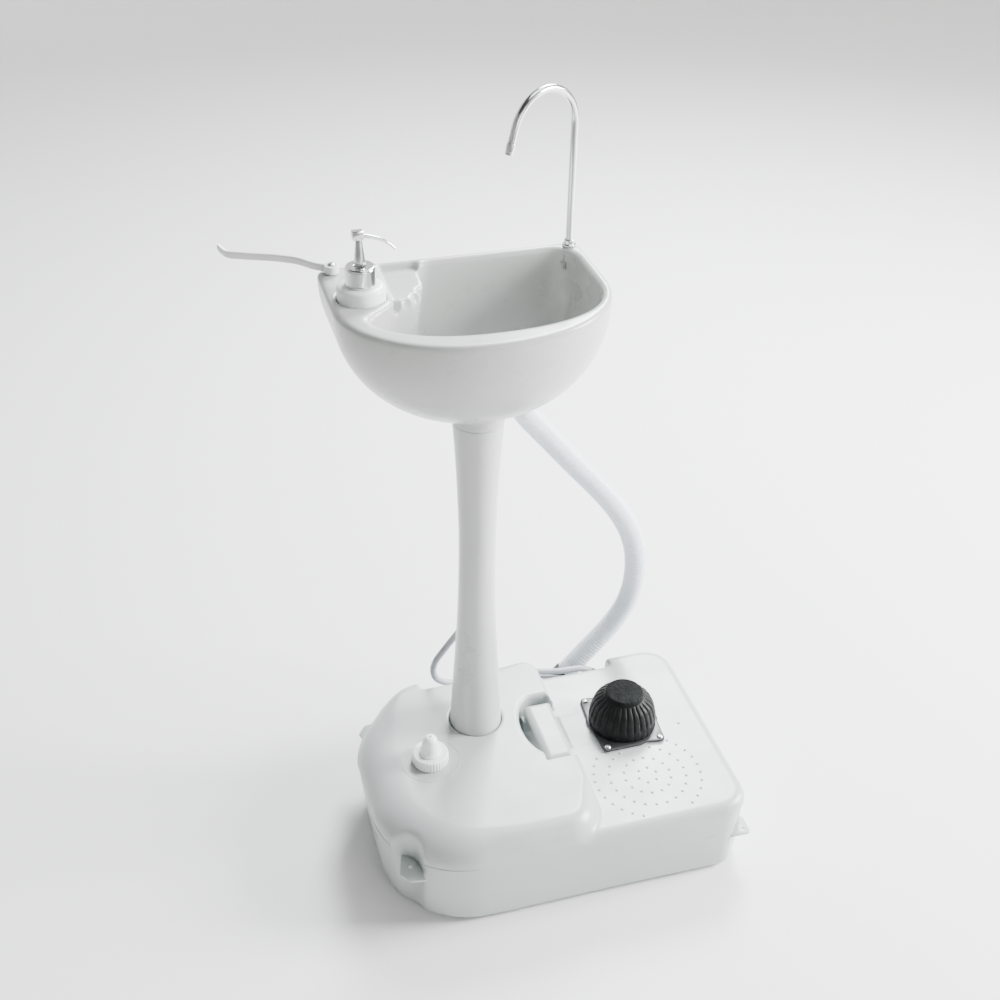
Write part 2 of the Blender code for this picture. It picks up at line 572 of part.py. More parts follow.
# sloping tray for the soap bar, a little under the rim
tray = add_mesh("soap_tray", prism([(-0.172, 0.196), (-0.1725, 0.136), (-0.150, 0.110), (-0.110, 0.130),
                                    (-0.118, 0.184), (-0.128, 0.196)], RIM_Z - 0.0080, 0.84), CUTTERS)
boolean(bowl, tray)
pocket = add_mesh("soap_pocket", cylinder(SOAP_R + 0.0012, SOAP_FLOOR_Z, 0.84, 24, centre=(SOAP_X, SOAP_Y)), CUTTERS)
boolean(bowl, pocket)
boolean(bowl, add_mesh("strainer_seat", cylinder(0.0255, BASIN_FLOOR_Z - 0.0010, 0.73, 20, centre=(DRAIN_X, DRAIN_Y)), CUTTERS))
boolean(bowl, add_mesh("drain_hole", cylinder(DRAIN_R, 0.60, 0.76, 20, centre=(DRAIN_X, DRAIN_Y)), CUTTERS))
boolean(bowl, add_mesh("faucet_hole", cylinder(0.0052, 0.70, 0.84, 12, centre=(FAUCET_X, FAUCET_Y)), CUTTERS))
boolean(bowl, add_mesh("faucet_relief", cylinder(0.0125, 0.70, RIM_Z - 0.0080, 12, centre=(FAUCET_X, FAUCET_Y)), CUTTERS))
boolean(bowl, add_mesh("pivot_hole", cylinder(0.0024, RIM_Z - 0.020, 0.84, 8, centre=(PIVOT_X, PIVOT_Y)), CUTTERS))

# the space between the two skins, open through the spigot
void = add_mesh("skin_space", loft(bowl_sections(0.0045, RIM_Z - 0.0160, 12, 1, 5)), CUTTERS)


def keep_skin(name, bm):
    boolean(void, add_mesh("skin_" + name, bm, CUTTERS))


keep_skin("basin", loft(basin_sections(0.0045, RIM_Z + 0.02, 12, 2, 5)))
keep_skin("tray", box(-0.180, -0.095, 0.100, 0.25, RIM_Z - 0.0130, 0.85))
keep_skin("pocket", cylinder(SOAP_R + 0.0052, SOAP_FLOOR_Z - 0.0045, 0.85, 16, centre=(SOAP_X, SOAP_Y)))
keep_skin("boss", cylinder(0.0330, 0.60, 0.80, 16, centre=(DRAIN_X, DRAIN_Y)))
keep_skin("faucet", cylinder(0.0175, 0.60, 0.85, 12, centre=(FAUCET_X, FAUCET_Y)))
keep_skin("pivot", cylinder(0.0080, RIM_Z - 0.026, 0.85, 10, centre=(PIVOT_X, PIVOT_Y)))
boolean(bowl, void)
boolean(bowl, add_mesh("spigot_bore", cylinder(0.0190, 0.58, 0.6900, 16, centre=(COL_X, COL_Y)), CUTTERS))
finish(bowl, "shell")

# ------------------------------------------------------------ drain fittings
turned("drain_strainer", [(0.0040, BASIN_FLOOR_Z + 0.0012), (0.0235, BASIN_FLOOR_Z + 0.0012),
                          (0.0240, BASIN_FLOOR_Z - 0.0007), (DRAIN_R - GAP, BASIN_FLOOR_Z - 0.0007),
                          (DRAIN_R - GAP, 0.6570), (0.0135, 0.6555), (0.0135, 0.6400), (0.0110, 0.6400),
                          (0.0110, 0.6960), (0.0040, 0.6960)], "chrome", (DRAIN_X, DRAIN_Y, 0), 20)
turned("drain_gasket", [(0.0270, BOSS_Z - GAP), (0.0270, BOSS_Z - 0.0028), (DRAIN_R + GAP, BOSS_Z - 0.0028),
                        (DRAIN_R + GAP, BOSS_Z - GAP)], "rubber", (DRAIN_X, DRAIN_Y, 0), 20)
nut = add_mesh("drain_locknut", cylinder(0.0265, BOSS_Z - 0.0105, BOSS_Z - 0.0031, 8, centre=(DRAIN_X, DRAIN_Y)))
boolean(nut, add_mesh("drain_nut_bore", cylinder(DRAIN_R + GAP, 0.60, 0.70, 20, centre=(DRAIN_X, DRAIN_Y)), CUTTERS))
finish(nut, "white")
turned("drain_hose_cuff_top", [(0.0165, 0.6548), (0.0180, 0.6530), (0.0180, 0.6405), (0.0138, 0.6405),
                               (0.0138, 0.6548)], "black", (DRAIN_X, DRAIN_Y, 0), 20)

# drain hose: a stiff corrugated hose that bulges out to the right on its way down
MOUTH = Vector((0.0940, 0.1960, 0.0700))
MOUTH_DIR = Vector((0.660, 0.0, 0.7513)).normalized()
DRAIN_ROUTE = [(DRAIN_X, DRAIN_Y, 0.6397), (DRAIN_X, DRAIN_Y, 0.6290), (0.0092, 0.1285, 0.6080),
               (0.0337, 0.1380, 0.5749), (0.0869, 0.1520, 0.5048), (0.1304, 0.1610, 0.4492), (0.1682, 0.1700, 0.3924),
               (0.1955, 0.1790, 0.3279), (0.2042, 0.1870, 0.2575), (0.1955, 0.1920, 0.2043), (0.1715, 0.1950, 0.1606),
               (0.1440, 0.1960, 0.1270), tuple(MOUTH + MOUTH_DIR * 0.0370), tuple(MOUTH + MOUTH_DIR * 0.0183)]
tube_curve("drain_hose", hose_line(DRAIN_ROUTE, 22, 0.010), HOSE_R, "hose", 3)

# blind elbow on the tank that parks the hose's free end
elbow_path = spline_through([(0.0645, RECESS_Y + 0.0012, 0.0440), (0.0645, RECESS_Y + 0.0160, 0.0440),
                             (0.0670, 0.1810, 0.0455), (0.0780, 0.1935, 0.0540), tuple(MOUTH - MOUTH_DIR * 0.006),
                             tuple(MOUTH + MOUTH_DIR * 0.0160)], 10)
elbow = tube_mesh("hose_park_elbow", elbow_path, 0.0132, "black", 3)
flange = add_mesh("elbow_flange", box(0.0492, 0.0798, RECESS_Y + GAP, RECESS_Y + 0.0040, 0.0230, 0.0650), CUTTERS)
boolean(elbow, flange, "UNION")
aim = Vector((0, 0, 1)).rotation_difference(MOUTH_DIR)
turned("drain_hose_cuff_bottom", [(0.0165, 0.0180), (0.0180, 0.0160), (0.0180, 0.0020), (0.0138, 0.0020),
                                  (0.0138, 0.0180)], "black", tuple(MOUTH), 20, rotation=aim)

# ------------------------------------------------------------------- faucet
ux, uy = math.cos(FAUCET_ANGLE), math.sin(FAUCET_ANGLE)
ARC_Z = FAUCET_TOP_Z - FAUCET_TUBE_R - FAUCET_ARC_B


def spout_point(s, z):
    return (FAUCET_X + ux * s, FAUCET_Y + uy * s, z)


spout_path = [spout_point(0, RIM_Z + 0.0020), spout_point(0, 0.88), spout_point(0, 0.94), spout_point(0, ARC_Z)]
BEND_END = math.radians(165)
for i in range(1, 11):
    t = BEND_END * i / 10
    spout_path.append(spout_point(FAUCET_ARC_A * (1 - math.cos(t)), ARC_Z + FAUCET_ARC_B * math.sin(t)))
last_s = FAUCET_ARC_A * (1 - math.cos(BEND_END))
last_z = ARC_Z + FAUCET_ARC_B * math.sin(BEND_END)
down = (math.sin(math.radians(17)), -math.cos(math.radians(17)))
STRAIGHT = 0.0135
spout_path.append(spout_point(last_s + down[0] * STRAIGHT, last_z + down[1] * STRAIGHT))
tube_curve("faucet_spout", spout_path, FAUCET_TUBE_R, "chrome", 2)
tip_at = Vector(spout_point(last_s + down[0] * (STRAIGHT + GAP), last_z + down[1] * (STRAIGHT + GAP)))
tip_dir = Vector((ux * down[0], uy * down[0], down[1]))
turned("faucet_nozzle", [(0.0050, 0.0140), (0.0052, 0.0130), (0.0056, 0.0), (0.0030, 0.0), (0.0030, 0.0140)],
       "chrome", tuple(tip_at), 16, rotation=Vector((0, 0, 1)).rotation_difference(tip_dir))
turned("faucet_base_nut", [(0.0053, RIM_Z + 0.0090), (0.0062, RIM_Z + 0.0085), (0.0068, RIM_Z + 0.0030),
                           (0.0085, RIM_Z + 0.0015), (0.0085, RIM_Z + GAP), (0.0053, RIM_Z + GAP)],
       "chrome", (FAUCET_X, FAUCET_Y, 0), 20)
turned("faucet_shank", [(0.0045, RIM_Z + 0.0017), (0.0047, RIM_Z + 0.0012), (0.0047, RIM_Z - 0.0280),
                        (0.0034, RIM_Z - 0.0290), (0.0034, RIM_Z - 0.0500), (0.0020, RIM_Z - 0.0500),
                        (0.0020, RIM_Z + 0.0017)], "steel", (FAUCET_X, FAUCET_Y, 0), 16)
turned("faucet_gasket", [(0.0100, RIM_Z - 0.0083), (0.0100, RIM_Z - 0.0103), (0.0051, RIM_Z - 0.0103),
                         (0.0051, RIM_Z - 0.0083)], "rubber", (FAUCET_X, FAUCET_Y, 0), 16)
locknut = add_mesh("faucet_locknut", cylinder(0.0095, RIM_Z - 0.0160, RIM_Z - 0.0106, 6, centre=(FAUCET_X, FAUCET_Y)))
boolean(locknut, add_mesh("faucet_nut_bore", cylinder(0.0050, 0.70, 0.85, 12, centre=(FAUCET_X, FAUCET_Y)), CUTTERS))
finish(locknut, "steel")

# ---------------------------------------------------------------- towel arm
ARM_LINE = [(PIVOT_X - 0.0040, PIVOT_Y + 0.0030, 0.0), (-0.2490, 0.2030, 0.0), (-0.2660, 0.2220, 0.0),
            (-0.2900, 0.2365, 0.0), (-0.3290, 0.2530, 0.0), (-0.3455, 0.2620, 0.0), (-0.3510, 0.2650, 0.0035),
            (-0.3565, 0.2680, 0.0090)]


def strap(line, half, z0, z1):
    """Strap of constant width and height along a line whose third value lifts it."""
    sections = []
    for i, (x, y, lift) in enumerate(line):
        x0, y0, _ = line[max(i - 1, 0)]
        x1, y1, _ = line[min(i + 1, len(line) - 1)]
        length = math.hypot(x1 - x0, y1 - y0)
        nx, ny = -(y1 - y0) / length * half, (x1 - x0) / length * half
        sections.append([(x + nx, y + ny, z0 + lift), (x - nx, y - ny, z0 + lift),
                         (x - nx, y - ny, z1 + lift), (x + nx, y + ny, z1 + lift)])
    return loft(sections)


arm = add_mesh("towel_arm", strap(ARM_LINE, 0.0026, ARM_Z0 + 0.0002, ARM_Z1 - 0.0002))
boolean(arm, add_mesh("arm_boss", cylinder(0.0088, ARM_Z0, ARM_Z1, 20, centre=(PIVOT_X, PIVOT_Y)), CUTTERS), "UNION")
boolean(arm, add_mesh("arm_bore", cylinder(0.0048, 0.80, 0.84, 16, centre=(PIVOT_X, PIVOT_Y)), CUTTERS))
finish(arm, "white")
turned("towel_pivot_bush", [(0.0044, ARM_Z1 + 0.0004), (0.0044, ARM_Z0 - 0.0008), (0.0024, ARM_Z0 - 0.0008),
                            (0.0024, ARM_Z1 + 0.0004)], "steel", (PIVOT_X, PIVOT_Y, 0), 16)
turned("towel_pivot_screw", [(0.0, ARM_Z1 + 0.0026), (0.0030, ARM_Z1 + 0.0024), (0.0046, ARM_Z1 + 0.0010),
                             (0.0046, ARM_Z1 + 0.0007), (0.0019, ARM_Z1 + 0.0007), (0.0019, RIM_Z - 0.0180),
                             (0.0, RIM_Z - 0.0190)], "steel", (PIVOT_X, PIVOT_Y, 0), 12, closed=False)

# -------------------------------------------------------------- soap dispenser
SZ = SOAP_FLOOR_Z + GAP
turned("soap_bottle", [(0.0, SZ + 0.0022), (SOAP_R - 0.0022, SZ + 0.0030), (SOAP_R - 0.0020, 0.8250),
                       (0.0230, 0.8282), (0.0150, 0.8284), (0.0150, 0.8306), (0.0240, 0.8303), (SOAP_R, 0.8268),
                       (SOAP_R, SZ + 0.0020), (SOAP_R - 0.0020, SZ), (0.0, SZ)],
       "white", (SOAP_X, SOAP_Y, 0), 24, closed=False)
turned("soap_closure", [(0.0072, 0.8540), (0.0168, 0.8540), (0.0180, 0.8528), (0.0180, 0.8309), (0.0110, 0.8309),
                        (0.0110, 0.8500), (0.0072, 0.8500)], "chrome", (SOAP_X, SOAP_Y, 0), 24)
turned("soap_cylinder", [(0.0068, 0.8488), (0.0105, 0.8488), (0.0105, 0.8300), (0.0060, 0.8290), (0.0060, 0.7960),
                         (0.0030, 0.7930), (0.0015, 0.7930), (0.0015, 0.7960), (0.0048, 0.7980), (0.0048, 0.8440),
                         (0.0068, 0.8450)], "white", (SOAP_X, SOAP_Y, 0), 16)
turned("soap_dip_tube", [(0.0026, 0.7927), (0.0026, SZ + 0.0060), (0.0014, SZ + 0.0060), (0.0014, 0.7927)],
       "white", (SOAP_X, SOAP_Y, 0), 10)
turned("soap_spring", [(0.0044, 0.8260), (0.0044, 0.8000), (0.0032, 0.8000), (0.0032, 0.8260)], "steel",
       (SOAP_X, SOAP_Y, 0), 12)
turned("soap_stem", [(0.0020, 0.8867), (0.0040, 0.8867), (0.0046, 0.8800), (0.0064, 0.8620), (0.0066, 0.8548),
                     (0.0040, 0.8548), (0.0040, 0.8264), (0.0020, 0.8264)], "chrome", (SOAP_X, SOAP_Y, 0), 20)
head = add_mesh("soap_head", prism([(-0.0080, -0.0055), (0.0052, -0.0055), (0.0052, 0.0055), (-0.0080, 0.0055)],
                                   0.8870, 0.8970, top=0.0010, bottom=0.0010, segments=1), at=(SOAP_X, SOAP_Y, 0))
beak_pts = spline_through([(SOAP_X + 0.002, SOAP_Y, 0.8902), (SOAP_X + 0.0090, SOAP_Y, 0.8892),
                           (SOAP_X + 0.0246, SOAP_Y, 0.8838), (SOAP_X + 0.0345, SOAP_Y, 0.8775),
                           (SOAP_X + 0.0420, SOAP_Y, 0.8700)], 9)
beak = tube_mesh("soap_beak", beak_pts, 0.0021, None, 1, CUTTERS)
boolean(head, beak, "UNION")
finish(head, "chrome")

# ------------------------------------------------------------------ foot pump
FZ = DECK_Z + GAP


def flange_outline(grow=0.0):
    """Round flange with four ears at the screws."""
    pts = []
    for sx, sy in ((1, -1), (1, 1), (-1, 1), (-1, -1)):
        cx, cy = sx * PUMP_SCREW_DX, sy * PUMP_SCREW_DY
        a = math.degrees(math.atan2(cy, cx))
        for d in (-60, -20, 20, 60):
            t = math.radians(a + d)
            pts.append((PUMP_X + cx + (0.0070 + grow) * math.cos(t), PUMP_Y + cy + (0.0070 + grow) * math.sin(t)))
        mid = math.radians(a + (50 if sx * sy > 0 else 40))
        b = a + (51 if sx * sy > 0 else 39)
        t = math.radians(b)
        pts.append((PUMP_X + (0.0530 + grow) * math.cos(t), PUMP_Y + (0.0565 + grow) * math.sin(t)))
    return pts


pump_gasket = add_mesh("pump_gasket", prism(flange_outline(), FZ, FZ + 0.0012))
boolean(pump_gasket, add_mesh("gasket_bore", cylinder(WELL_R, 0.10, 0.15, 24, centre=(PUMP_X, PUMP_Y)), CUTTERS))
ring = add_mesh("pump_flange", prism(flange_outline(), FZ + 0.0015, FZ + 0.0050, top=0.0008, segments=1))
boolean(ring, add_mesh("flange_bore", cylinder(0.0497, 0.10, 0.15, 24, centre=(PUMP_X, PUMP_Y)), CUTTERS))
for i, (sx, sy) in enumerate(((-1, 1), (-1, -1), (1, -1), (1, 1)), 1):
    at = (PUMP_X + sx * PUMP_SCREW_DX, PUMP_Y + sy * PUMP_SCREW_DY)
    cut = add_mesh("flange_hole_%d" % i, cylinder(0.0022, 0.115, 0.15, 10, centre=at), CUTTERS)
    boolean(ring, cut)
    boolean(pump_gasket, cut)
    turned("pump_screw_%d" % i, [(0.0, FZ + 0.0076), (0.0042, FZ + 0.0066), (0.0042, FZ + 0.0053),
                                 (0.0013, FZ + 0.0053), (0.0013, 0.1150), (0.0, 0.1150)],
           "steel", (at[0], at[1], 0), 10, closed=False)
finish(ring, "black")
finish(pump_gasket, "rubber")

DOME_Z0 = FZ + 0.0018
turned("pump_bellows", [(0.0290, 0.1795), (0.0365, 0.1737), (0.0412, 0.1690), (0.0450, 0.1610), (0.0474, 0.1520),
                        (0.0488, 0.1430), (0.0490, DOME_Z0), (0.0440, DOME_Z0), (0.0440, DOME_Z0 + 0.0030),
                        (0.0455, 0.1430), (0.0437, 0.1530), (0.0400, 0.1625), (0.0350, 0.1690), (0.0290, 0.1745)],
       "rubber", (PUMP_X, PUMP_Y, 0), 24)
turned("pump_top_pad", [(0.0, 0.1878), (0.0200, 0.1872), (0.0258, 0.1838), (0.0285, 0.1800), (0.0287, 0.1745),
                        (0.0, 0.1745)], "rubber", (PUMP_X, PUMP_Y, 0), 24, closed=False)
VALVE_TOP = DOME_Z0 - 0.0010
valve = turned("pump_valve_body", [(0.0, VALVE_TOP), (WELL_R - 0.0006, VALVE_TOP), (WELL_R - 0.0006, 0.1120),
                                   (0.0240, 0.1120), (0.0240, WELL_Z + GAP), (0.0, WELL_Z + GAP)],
               "white", (PUMP_X, PUMP_Y, 0), 24, closed=False)
for key, sx in (("in", -1), ("out", 1)):
    cut = add_mesh("valve_port_" + key, cylinder(0.0042, 0.0980, 0.15, 10,
                   centre=(sx * 0.0130, 0)), CUTTERS, at=(PUMP_X, PUMP_Y, 0))
    boolean(valve, cut)
turned("pump_inlet_valve", [(0.0, VALVE_TOP + 0.0018), (0.0070, VALVE_TOP + 0.0012), (0.0070, VALVE_TOP + GAP),
                            (0.0012, VALVE_TOP + GAP), (0.0012, VALVE_TOP - 0.0060), (0.0, VALVE_TOP - 0.0060)],
       "rubber", (PUMP_X - 0.0130, PUMP_Y, 0), 12, closed=False)
turned("pump_outlet_valve", [(0.0, VALVE_TOP + 0.0018), (0.0070, VALVE_TOP + 0.0012), (0.0070, VALVE_TOP + GAP),
                             (0.0012, VALVE_TOP + GAP), (0.0012, VALVE_TOP - 0.0060), (0.0, VALVE_TOP - 0.0060)],
       "rubber", (PUMP_X + 0.0130, PUMP_Y, 0), 12, closed=False)
turned("pump_spring", [(0.0265, 0.1742), (0.0265, VALVE_TOP + GAP), (0.0235, VALVE_TOP + GAP),
                       (0.0235, 0.1742)], "steel", (PUMP_X, PUMP_Y, 0), 20)

# pump ports: elbows that leave through the recess wall and turn along the tank
LINE_Z = 0.0980
for name, px, out_dir in (("pump_inlet_elbow", PUMP_X - 0.0130, Vector((-0.985, 0.10, 0.14)).normalized()),
                          ("pump_outlet_elbow", PUMP_X + 0.0130, Vector((-0.84, 0.05, 0.54)).normalized())):
    corner = Vector((px, 0.1580 if "inlet" in name else 0.1640, LINE_Z))
    run = [(px, PUMP_Y + 0.0226, LINE_Z), (px, 0.1000, LINE_Z), (px, corner.y - 0.0060, LINE_Z),
           tuple(corner - Vector((0, 1, 0)) * 0.0022 + out_dir * 0.0022), tuple(corner + out_dir * 0.0065),
           tuple(corner + out_dir * 0.0130)]
    tube_mesh(name, [Vector(q) for q in run], 0.0046, "black", 2)

# tank outlet: an elbow in the notch, with the draw tube and strainer inside
out_corner = Vector((-0.1120, 0.1590, LINE_Z))
tube_mesh("tank_outlet_elbow", [Vector((-0.1120, 0.1330, LINE_Z)), Vector((-0.1120, 0.1520, LINE_Z)),
                                out_corner + Vector((0.0022, -0.0022, 0)), out_corner + Vector((0.0065, 0, 0)),
                                out_corner + Vector((0.0140, 0, 0))], 0.0046, "black", 2)
draw = hose_line([(-0.1120, 0.1326, LINE_Z), (-0.1120, 0.1280, LINE_Z), (-0.1120, 0.1150, 0.0940), (-0.1110, 0.0960, 0.0760),
                       (-0.1100, 0.0870, 0.0500), (-0.1100, 0.0860, 0.0320), (-0.1100, 0.0860, 0.0240)], 12)
tube_curve("draw_tube", draw, 0.0040, "line", 2)
turned("draw_strainer", [(0.0, 0.0236), (0.0100, 0.0236), (0.0120, 0.0070), (0.0, 0.0070)], "white",
       (-0.1100, 0.0860, 0), 16, closed=False)

# suction line: from the tank outlet, behind the tall block, to the pump inlet
in_dir = Vector((-0.985, 0.10, 0.14)).normalized()
in_start = Vector((PUMP_X - 0.0130, 0.1580, LINE_Z)) + in_dir * 0.0133
SUCTION_ROUTE = [tuple(out_corner + Vector((0.0143, 0, 0))), tuple(out_corner + Vector((0.0240, 0, 0))),
                 (-0.0680, 0.1670, 0.0980), (-0.0500, 0.1755, 0.0985), (-0.0250, 0.1780, 0.0985),
                 (0.0100, 0.1782, 0.0985), (0.0440, 0.1772, 0.0990), (0.0660, 0.1715, 0.1000),
                 (0.0860, 0.1640, 0.1000), tuple(in_start + in_dir * 0.0100), tuple(in_start)]
tube_curve("suction_line", hose_line(SUCTION_ROUTE, 18), LINE_R, "line", 2)

# supply line: from the pump outlet, behind the block, round a loop and up behind the column
out_dir = Vector((-0.84, 0.05, 0.54)).normalized()
out_start = Vector((PUMP_X + 0.0130, 0.1640, LINE_Z)) + out_dir * 0.0133
SUPPLY_ROUTE = [tuple(out_start), tuple(out_start + out_dir * 0.0100), (0.1050, 0.1665, 0.1130), (0.0760, 0.1690, 0.1130),
                (0.0480, 0.1770, 0.1125), (0.0100, 0.1780, 0.1105), (-0.0400, 0.1778, 0.1120),
                (-0.0700, 0.1745, 0.1220), (-0.0930, 0.1640, 0.1368), (-0.1116, 0.1600, 0.1494),
                (-0.1182, 0.1600, 0.1655), (-0.1174, 0.1600, 0.1828), (-0.1100, 0.1600, 0.1950),
                (-0.0973, 0.1600, 0.2134), (-0.0866, 0.1580, 0.2303), (-0.0745, 0.1480, 0.2600),
                (-0.0680, 0.1260, 0.3250), (-0.0660, 0.1090, 0.4000), (-0.0660, 0.1080, 0.4800),
                (-0.0655, 0.1110, 0.5500), (-0.0600, 0.1250, 0.6120), (-0.0420, 0.1510, 0.6600),
                (-0.0060, 0.1800, 0.6840), (0.0380, 0.1935, 0.6980), (0.0660, 0.1952, 0.7200),
                (FAUCET_X, FAUCET_Y, 0.7500), (FAUCET_X, FAUCET_Y, RIM_Z - 0.0503)]
tube_curve("supply_line", hose_line(SUPPLY_ROUTE, 56), LINE_R, "line", 2)
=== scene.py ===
import math

import bmesh
import bpy
import numpy as np
from mathutils import Matrix, Vector, noise


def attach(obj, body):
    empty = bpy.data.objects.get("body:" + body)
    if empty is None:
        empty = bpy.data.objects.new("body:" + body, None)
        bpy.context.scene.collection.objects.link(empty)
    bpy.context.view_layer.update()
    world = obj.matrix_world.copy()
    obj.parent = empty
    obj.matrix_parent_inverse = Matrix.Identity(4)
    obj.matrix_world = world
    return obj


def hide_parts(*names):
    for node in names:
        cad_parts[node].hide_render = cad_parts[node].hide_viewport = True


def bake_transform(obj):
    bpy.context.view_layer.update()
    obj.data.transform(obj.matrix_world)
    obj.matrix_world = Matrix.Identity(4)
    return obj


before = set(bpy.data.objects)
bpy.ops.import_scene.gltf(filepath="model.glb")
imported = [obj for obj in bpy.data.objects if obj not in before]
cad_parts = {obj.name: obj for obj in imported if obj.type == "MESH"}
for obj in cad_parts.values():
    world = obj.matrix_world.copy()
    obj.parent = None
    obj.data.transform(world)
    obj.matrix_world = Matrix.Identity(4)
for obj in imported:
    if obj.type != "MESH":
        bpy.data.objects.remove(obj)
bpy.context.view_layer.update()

SCENE = bpy.context.scene
COLL = SCENE.collection

# ------------------------------------------------------------------- camera
PITCH, AZIM, ROLL = math.radians(35.0149), math.radians(-17.1734), math.radians(1.2056)
back = Vector((math.sin(AZIM) * math.cos(PITCH), -math.cos(AZIM) * math.cos(PITCH), math.sin(PITCH)))
right = Vector((math.cos(AZIM), math.sin(AZIM), 0))
up = back.cross(right)
cam_x = math.cos(ROLL) * right + math.sin(ROLL) * up
cam_y = -math.sin(ROLL) * right + math.cos(ROLL) * up
cam = bpy.data.objects.new("camera", bpy.data.cameras.new("camera"))
COLL.objects.link(cam)
cam.data.sensor_width = 36.0
cam.data.lens = 1334.7091 * 36.0 / 1000.0
cam.data.clip_start, cam.data.clip_end = 0.05, 50
eye = (-0.4655, -1.2803, 1.518)
cam.matrix_world = Matrix(((cam_x.x, cam_y.x, back.x, eye[0]), (cam_x.y, cam_y.y, back.y, eye[1]),
                           (cam_x.z, cam_y.z, back.z, eye[2]), (0, 0, 0, 1)))
SCENE.camera = cam


# ---------------------------------------------------------------- materials
def tree(name):
    mat = bpy.data.materials.new(name)
    mat.use_nodes = True
    nt = mat.node_tree
    return mat, nt, nt.nodes["Principled BSDF"]


def node(nt, kind, **values):
    n = nt.nodes.new(kind)
    for k, v in values.items():
        if k in n.inputs:
            n.inputs[k].default_value = v
        else:
            setattr(n, k, v)
    return n


def noise_node(nt, coord, scale, detail=3.0, rough=0.55, stretch=None):
    src = coord
    if stretch is not None:
        mp = node(nt, "ShaderNodeMapping")
        mp.inputs["Scale"].default_value = stretch
        nt.links.new(coord, mp.inputs["Vector"])
        src = mp.outputs["Vector"]
    n = node(nt, "ShaderNodeTexNoise", Scale=scale, Detail=detail, Roughness=rough)
    nt.links.new(src, n.inputs["Vector"])
    return n.outputs["Fac"]


def ramp(nt, value, low, high, p0=0.3, p1=0.7):
    r = node(nt, "ShaderNodeMapRange")
    r.inputs["From Min"].default_value = p0
    r.inputs["From Max"].default_value = p1
    r.inputs["To Min"].default_value = low
    r.inputs["To Max"].default_value = high
    nt.links.new(value, r.inputs["Value"])
    return r.outputs["Result"]


def blend_colour(nt, fac, a, b):
    m = node(nt, "ShaderNodeMix", data_type="RGBA")
    for key, val in (("A", a), ("B", b)):
        sock = [s for s in m.inputs if s.name == key and s.type == "RGBA"][0]
        if isinstance(val, tuple):
            sock.default_value = (*val, 1.0)
        else:
            nt.links.new(val, sock)
    nt.links.new(fac, m.inputs[0])
    return [s for s in m.outputs if s.type == "RGBA"][0]


def bump(nt, bsdf, layers):
    """layers: (height socket, strength, distance), added one on another."""
    last = None
    for height, strength, distance in layers:
        b = node(nt, "ShaderNodeBump", Strength=strength, Distance=distance)
        nt.links.new(height, b.inputs["Height"])
        if last is not None:
            nt.links.new(last, b.inputs["Normal"])
        last = b.outputs["Normal"]
    nt.links.new(last, bsdf.inputs["Normal"])


def moulded_plastic(name, light, dark, rough=(0.30, 0.42), grain=1400.0, scuff=(0.55, 0.57, 0.55), marks=0.10,
                    coat=0.0, sub=0.0):
    mat, nt, p = tree(name)
    co = node(nt, "ShaderNodeTexCoord").outputs["Object"]
    cloud = noise_node(nt, co, 7.0, 4.0)
    col = blend_colour(nt, ramp(nt, cloud, 0.0, 1.0), light, dark)
    fine = noise_node(nt, co, 60.0, 5.0, 0.65)
    tint = tuple(0.5 * a + 0.5 * b for a, b in zip(dark, scuff))
    col = blend_colour(nt, ramp(nt, fine, 0.0, marks, 0.52, 0.80), col, tint)
    scratch = noise_node(nt, co, 38.0, 2.0, 0.5, (1.0, 9.0, 1.0))
    col = blend_colour(nt, ramp(nt, scratch, 0.0, marks * 0.7, 0.66, 0.76), col, scuff)
    nt.links.new(col, p.inputs["Base Color"])
    nt.links.new(ramp(nt, noise_node(nt, co, 16.0, 5.0, 0.6), rough[0], rough[1]), p.inputs["Roughness"])
    p.inputs["Coat Weight"].default_value = coat
    p.inputs["Coat Roughness"].default_value = 0.2
    if sub:
        p.inputs["Subsurface Weight"].default_value = sub
        p.inputs["Subsurface Radius"].default_value = (0.006, 0.006, 0.006)
    bump(nt, p, [(noise_node(nt, co, 26.0, 2.0), 0.10, 0.0012), (noise_node(nt, co, grain, 1.0), 0.10, 0.00012),
                 (scratch, 0.05, 0.0002)])
    return mat


def metal(name, colour, rough=(0.05, 0.16), brushed=0.0, stretch=(1.0, 1.0, 12.0)):
    mat, nt, p = tree(name)
    co = node(nt, "ShaderNodeTexCoord").outputs["Object"]
    smear = noise_node(nt, co, 45.0, 4.0)
    nt.links.new(blend_colour(nt, ramp(nt, smear, 0.0, 0.6), colour, tuple(c * 0.86 for c in colour)),
                 p.inputs["Base Color"])
    p.inputs["Metallic"].default_value = 1.0
    nt.links.new(ramp(nt, smear, rough[0], rough[1]), p.inputs["Roughness"])
    lines = noise_node(nt, co, 420.0, 2.0, 0.5, stretch)
    bump(nt, p, [(lines, 0.03 + brushed, 0.0001), (noise_node(nt, co, 60.0, 2.0), 0.02, 0.0004)])
    return mat


def rubber(name, colour, worn, rough=(0.38, 0.62), pebble=0.0, scale=420.0):
    mat, nt, p = tree(name)
    co = node(nt, "ShaderNodeTexCoord").outputs["Object"]
    dust = noise_node(nt, co, 90.0, 6.0, 0.7)
    nt.links.new(blend_colour(nt, ramp(nt, dust, 0.0, 0.5, 0.48, 0.75), colour, worn), p.inputs["Base Color"])
    nt.links.new(ramp(nt, noise_node(nt, co, 120.0, 4.0), rough[0], rough[1]), p.inputs["Roughness"])
    layers = [(noise_node(nt, co, 700.0, 2.0), 0.25, 0.0002)]
    if pebble:
        v = node(nt, "ShaderNodeTexVoronoi", Scale=scale)
        nt.links.new(co, v.inputs["Vector"])
        layers.append((v.outputs["Distance"], pebble, 0.0006))
    bump(nt, p, layers)
    return mat


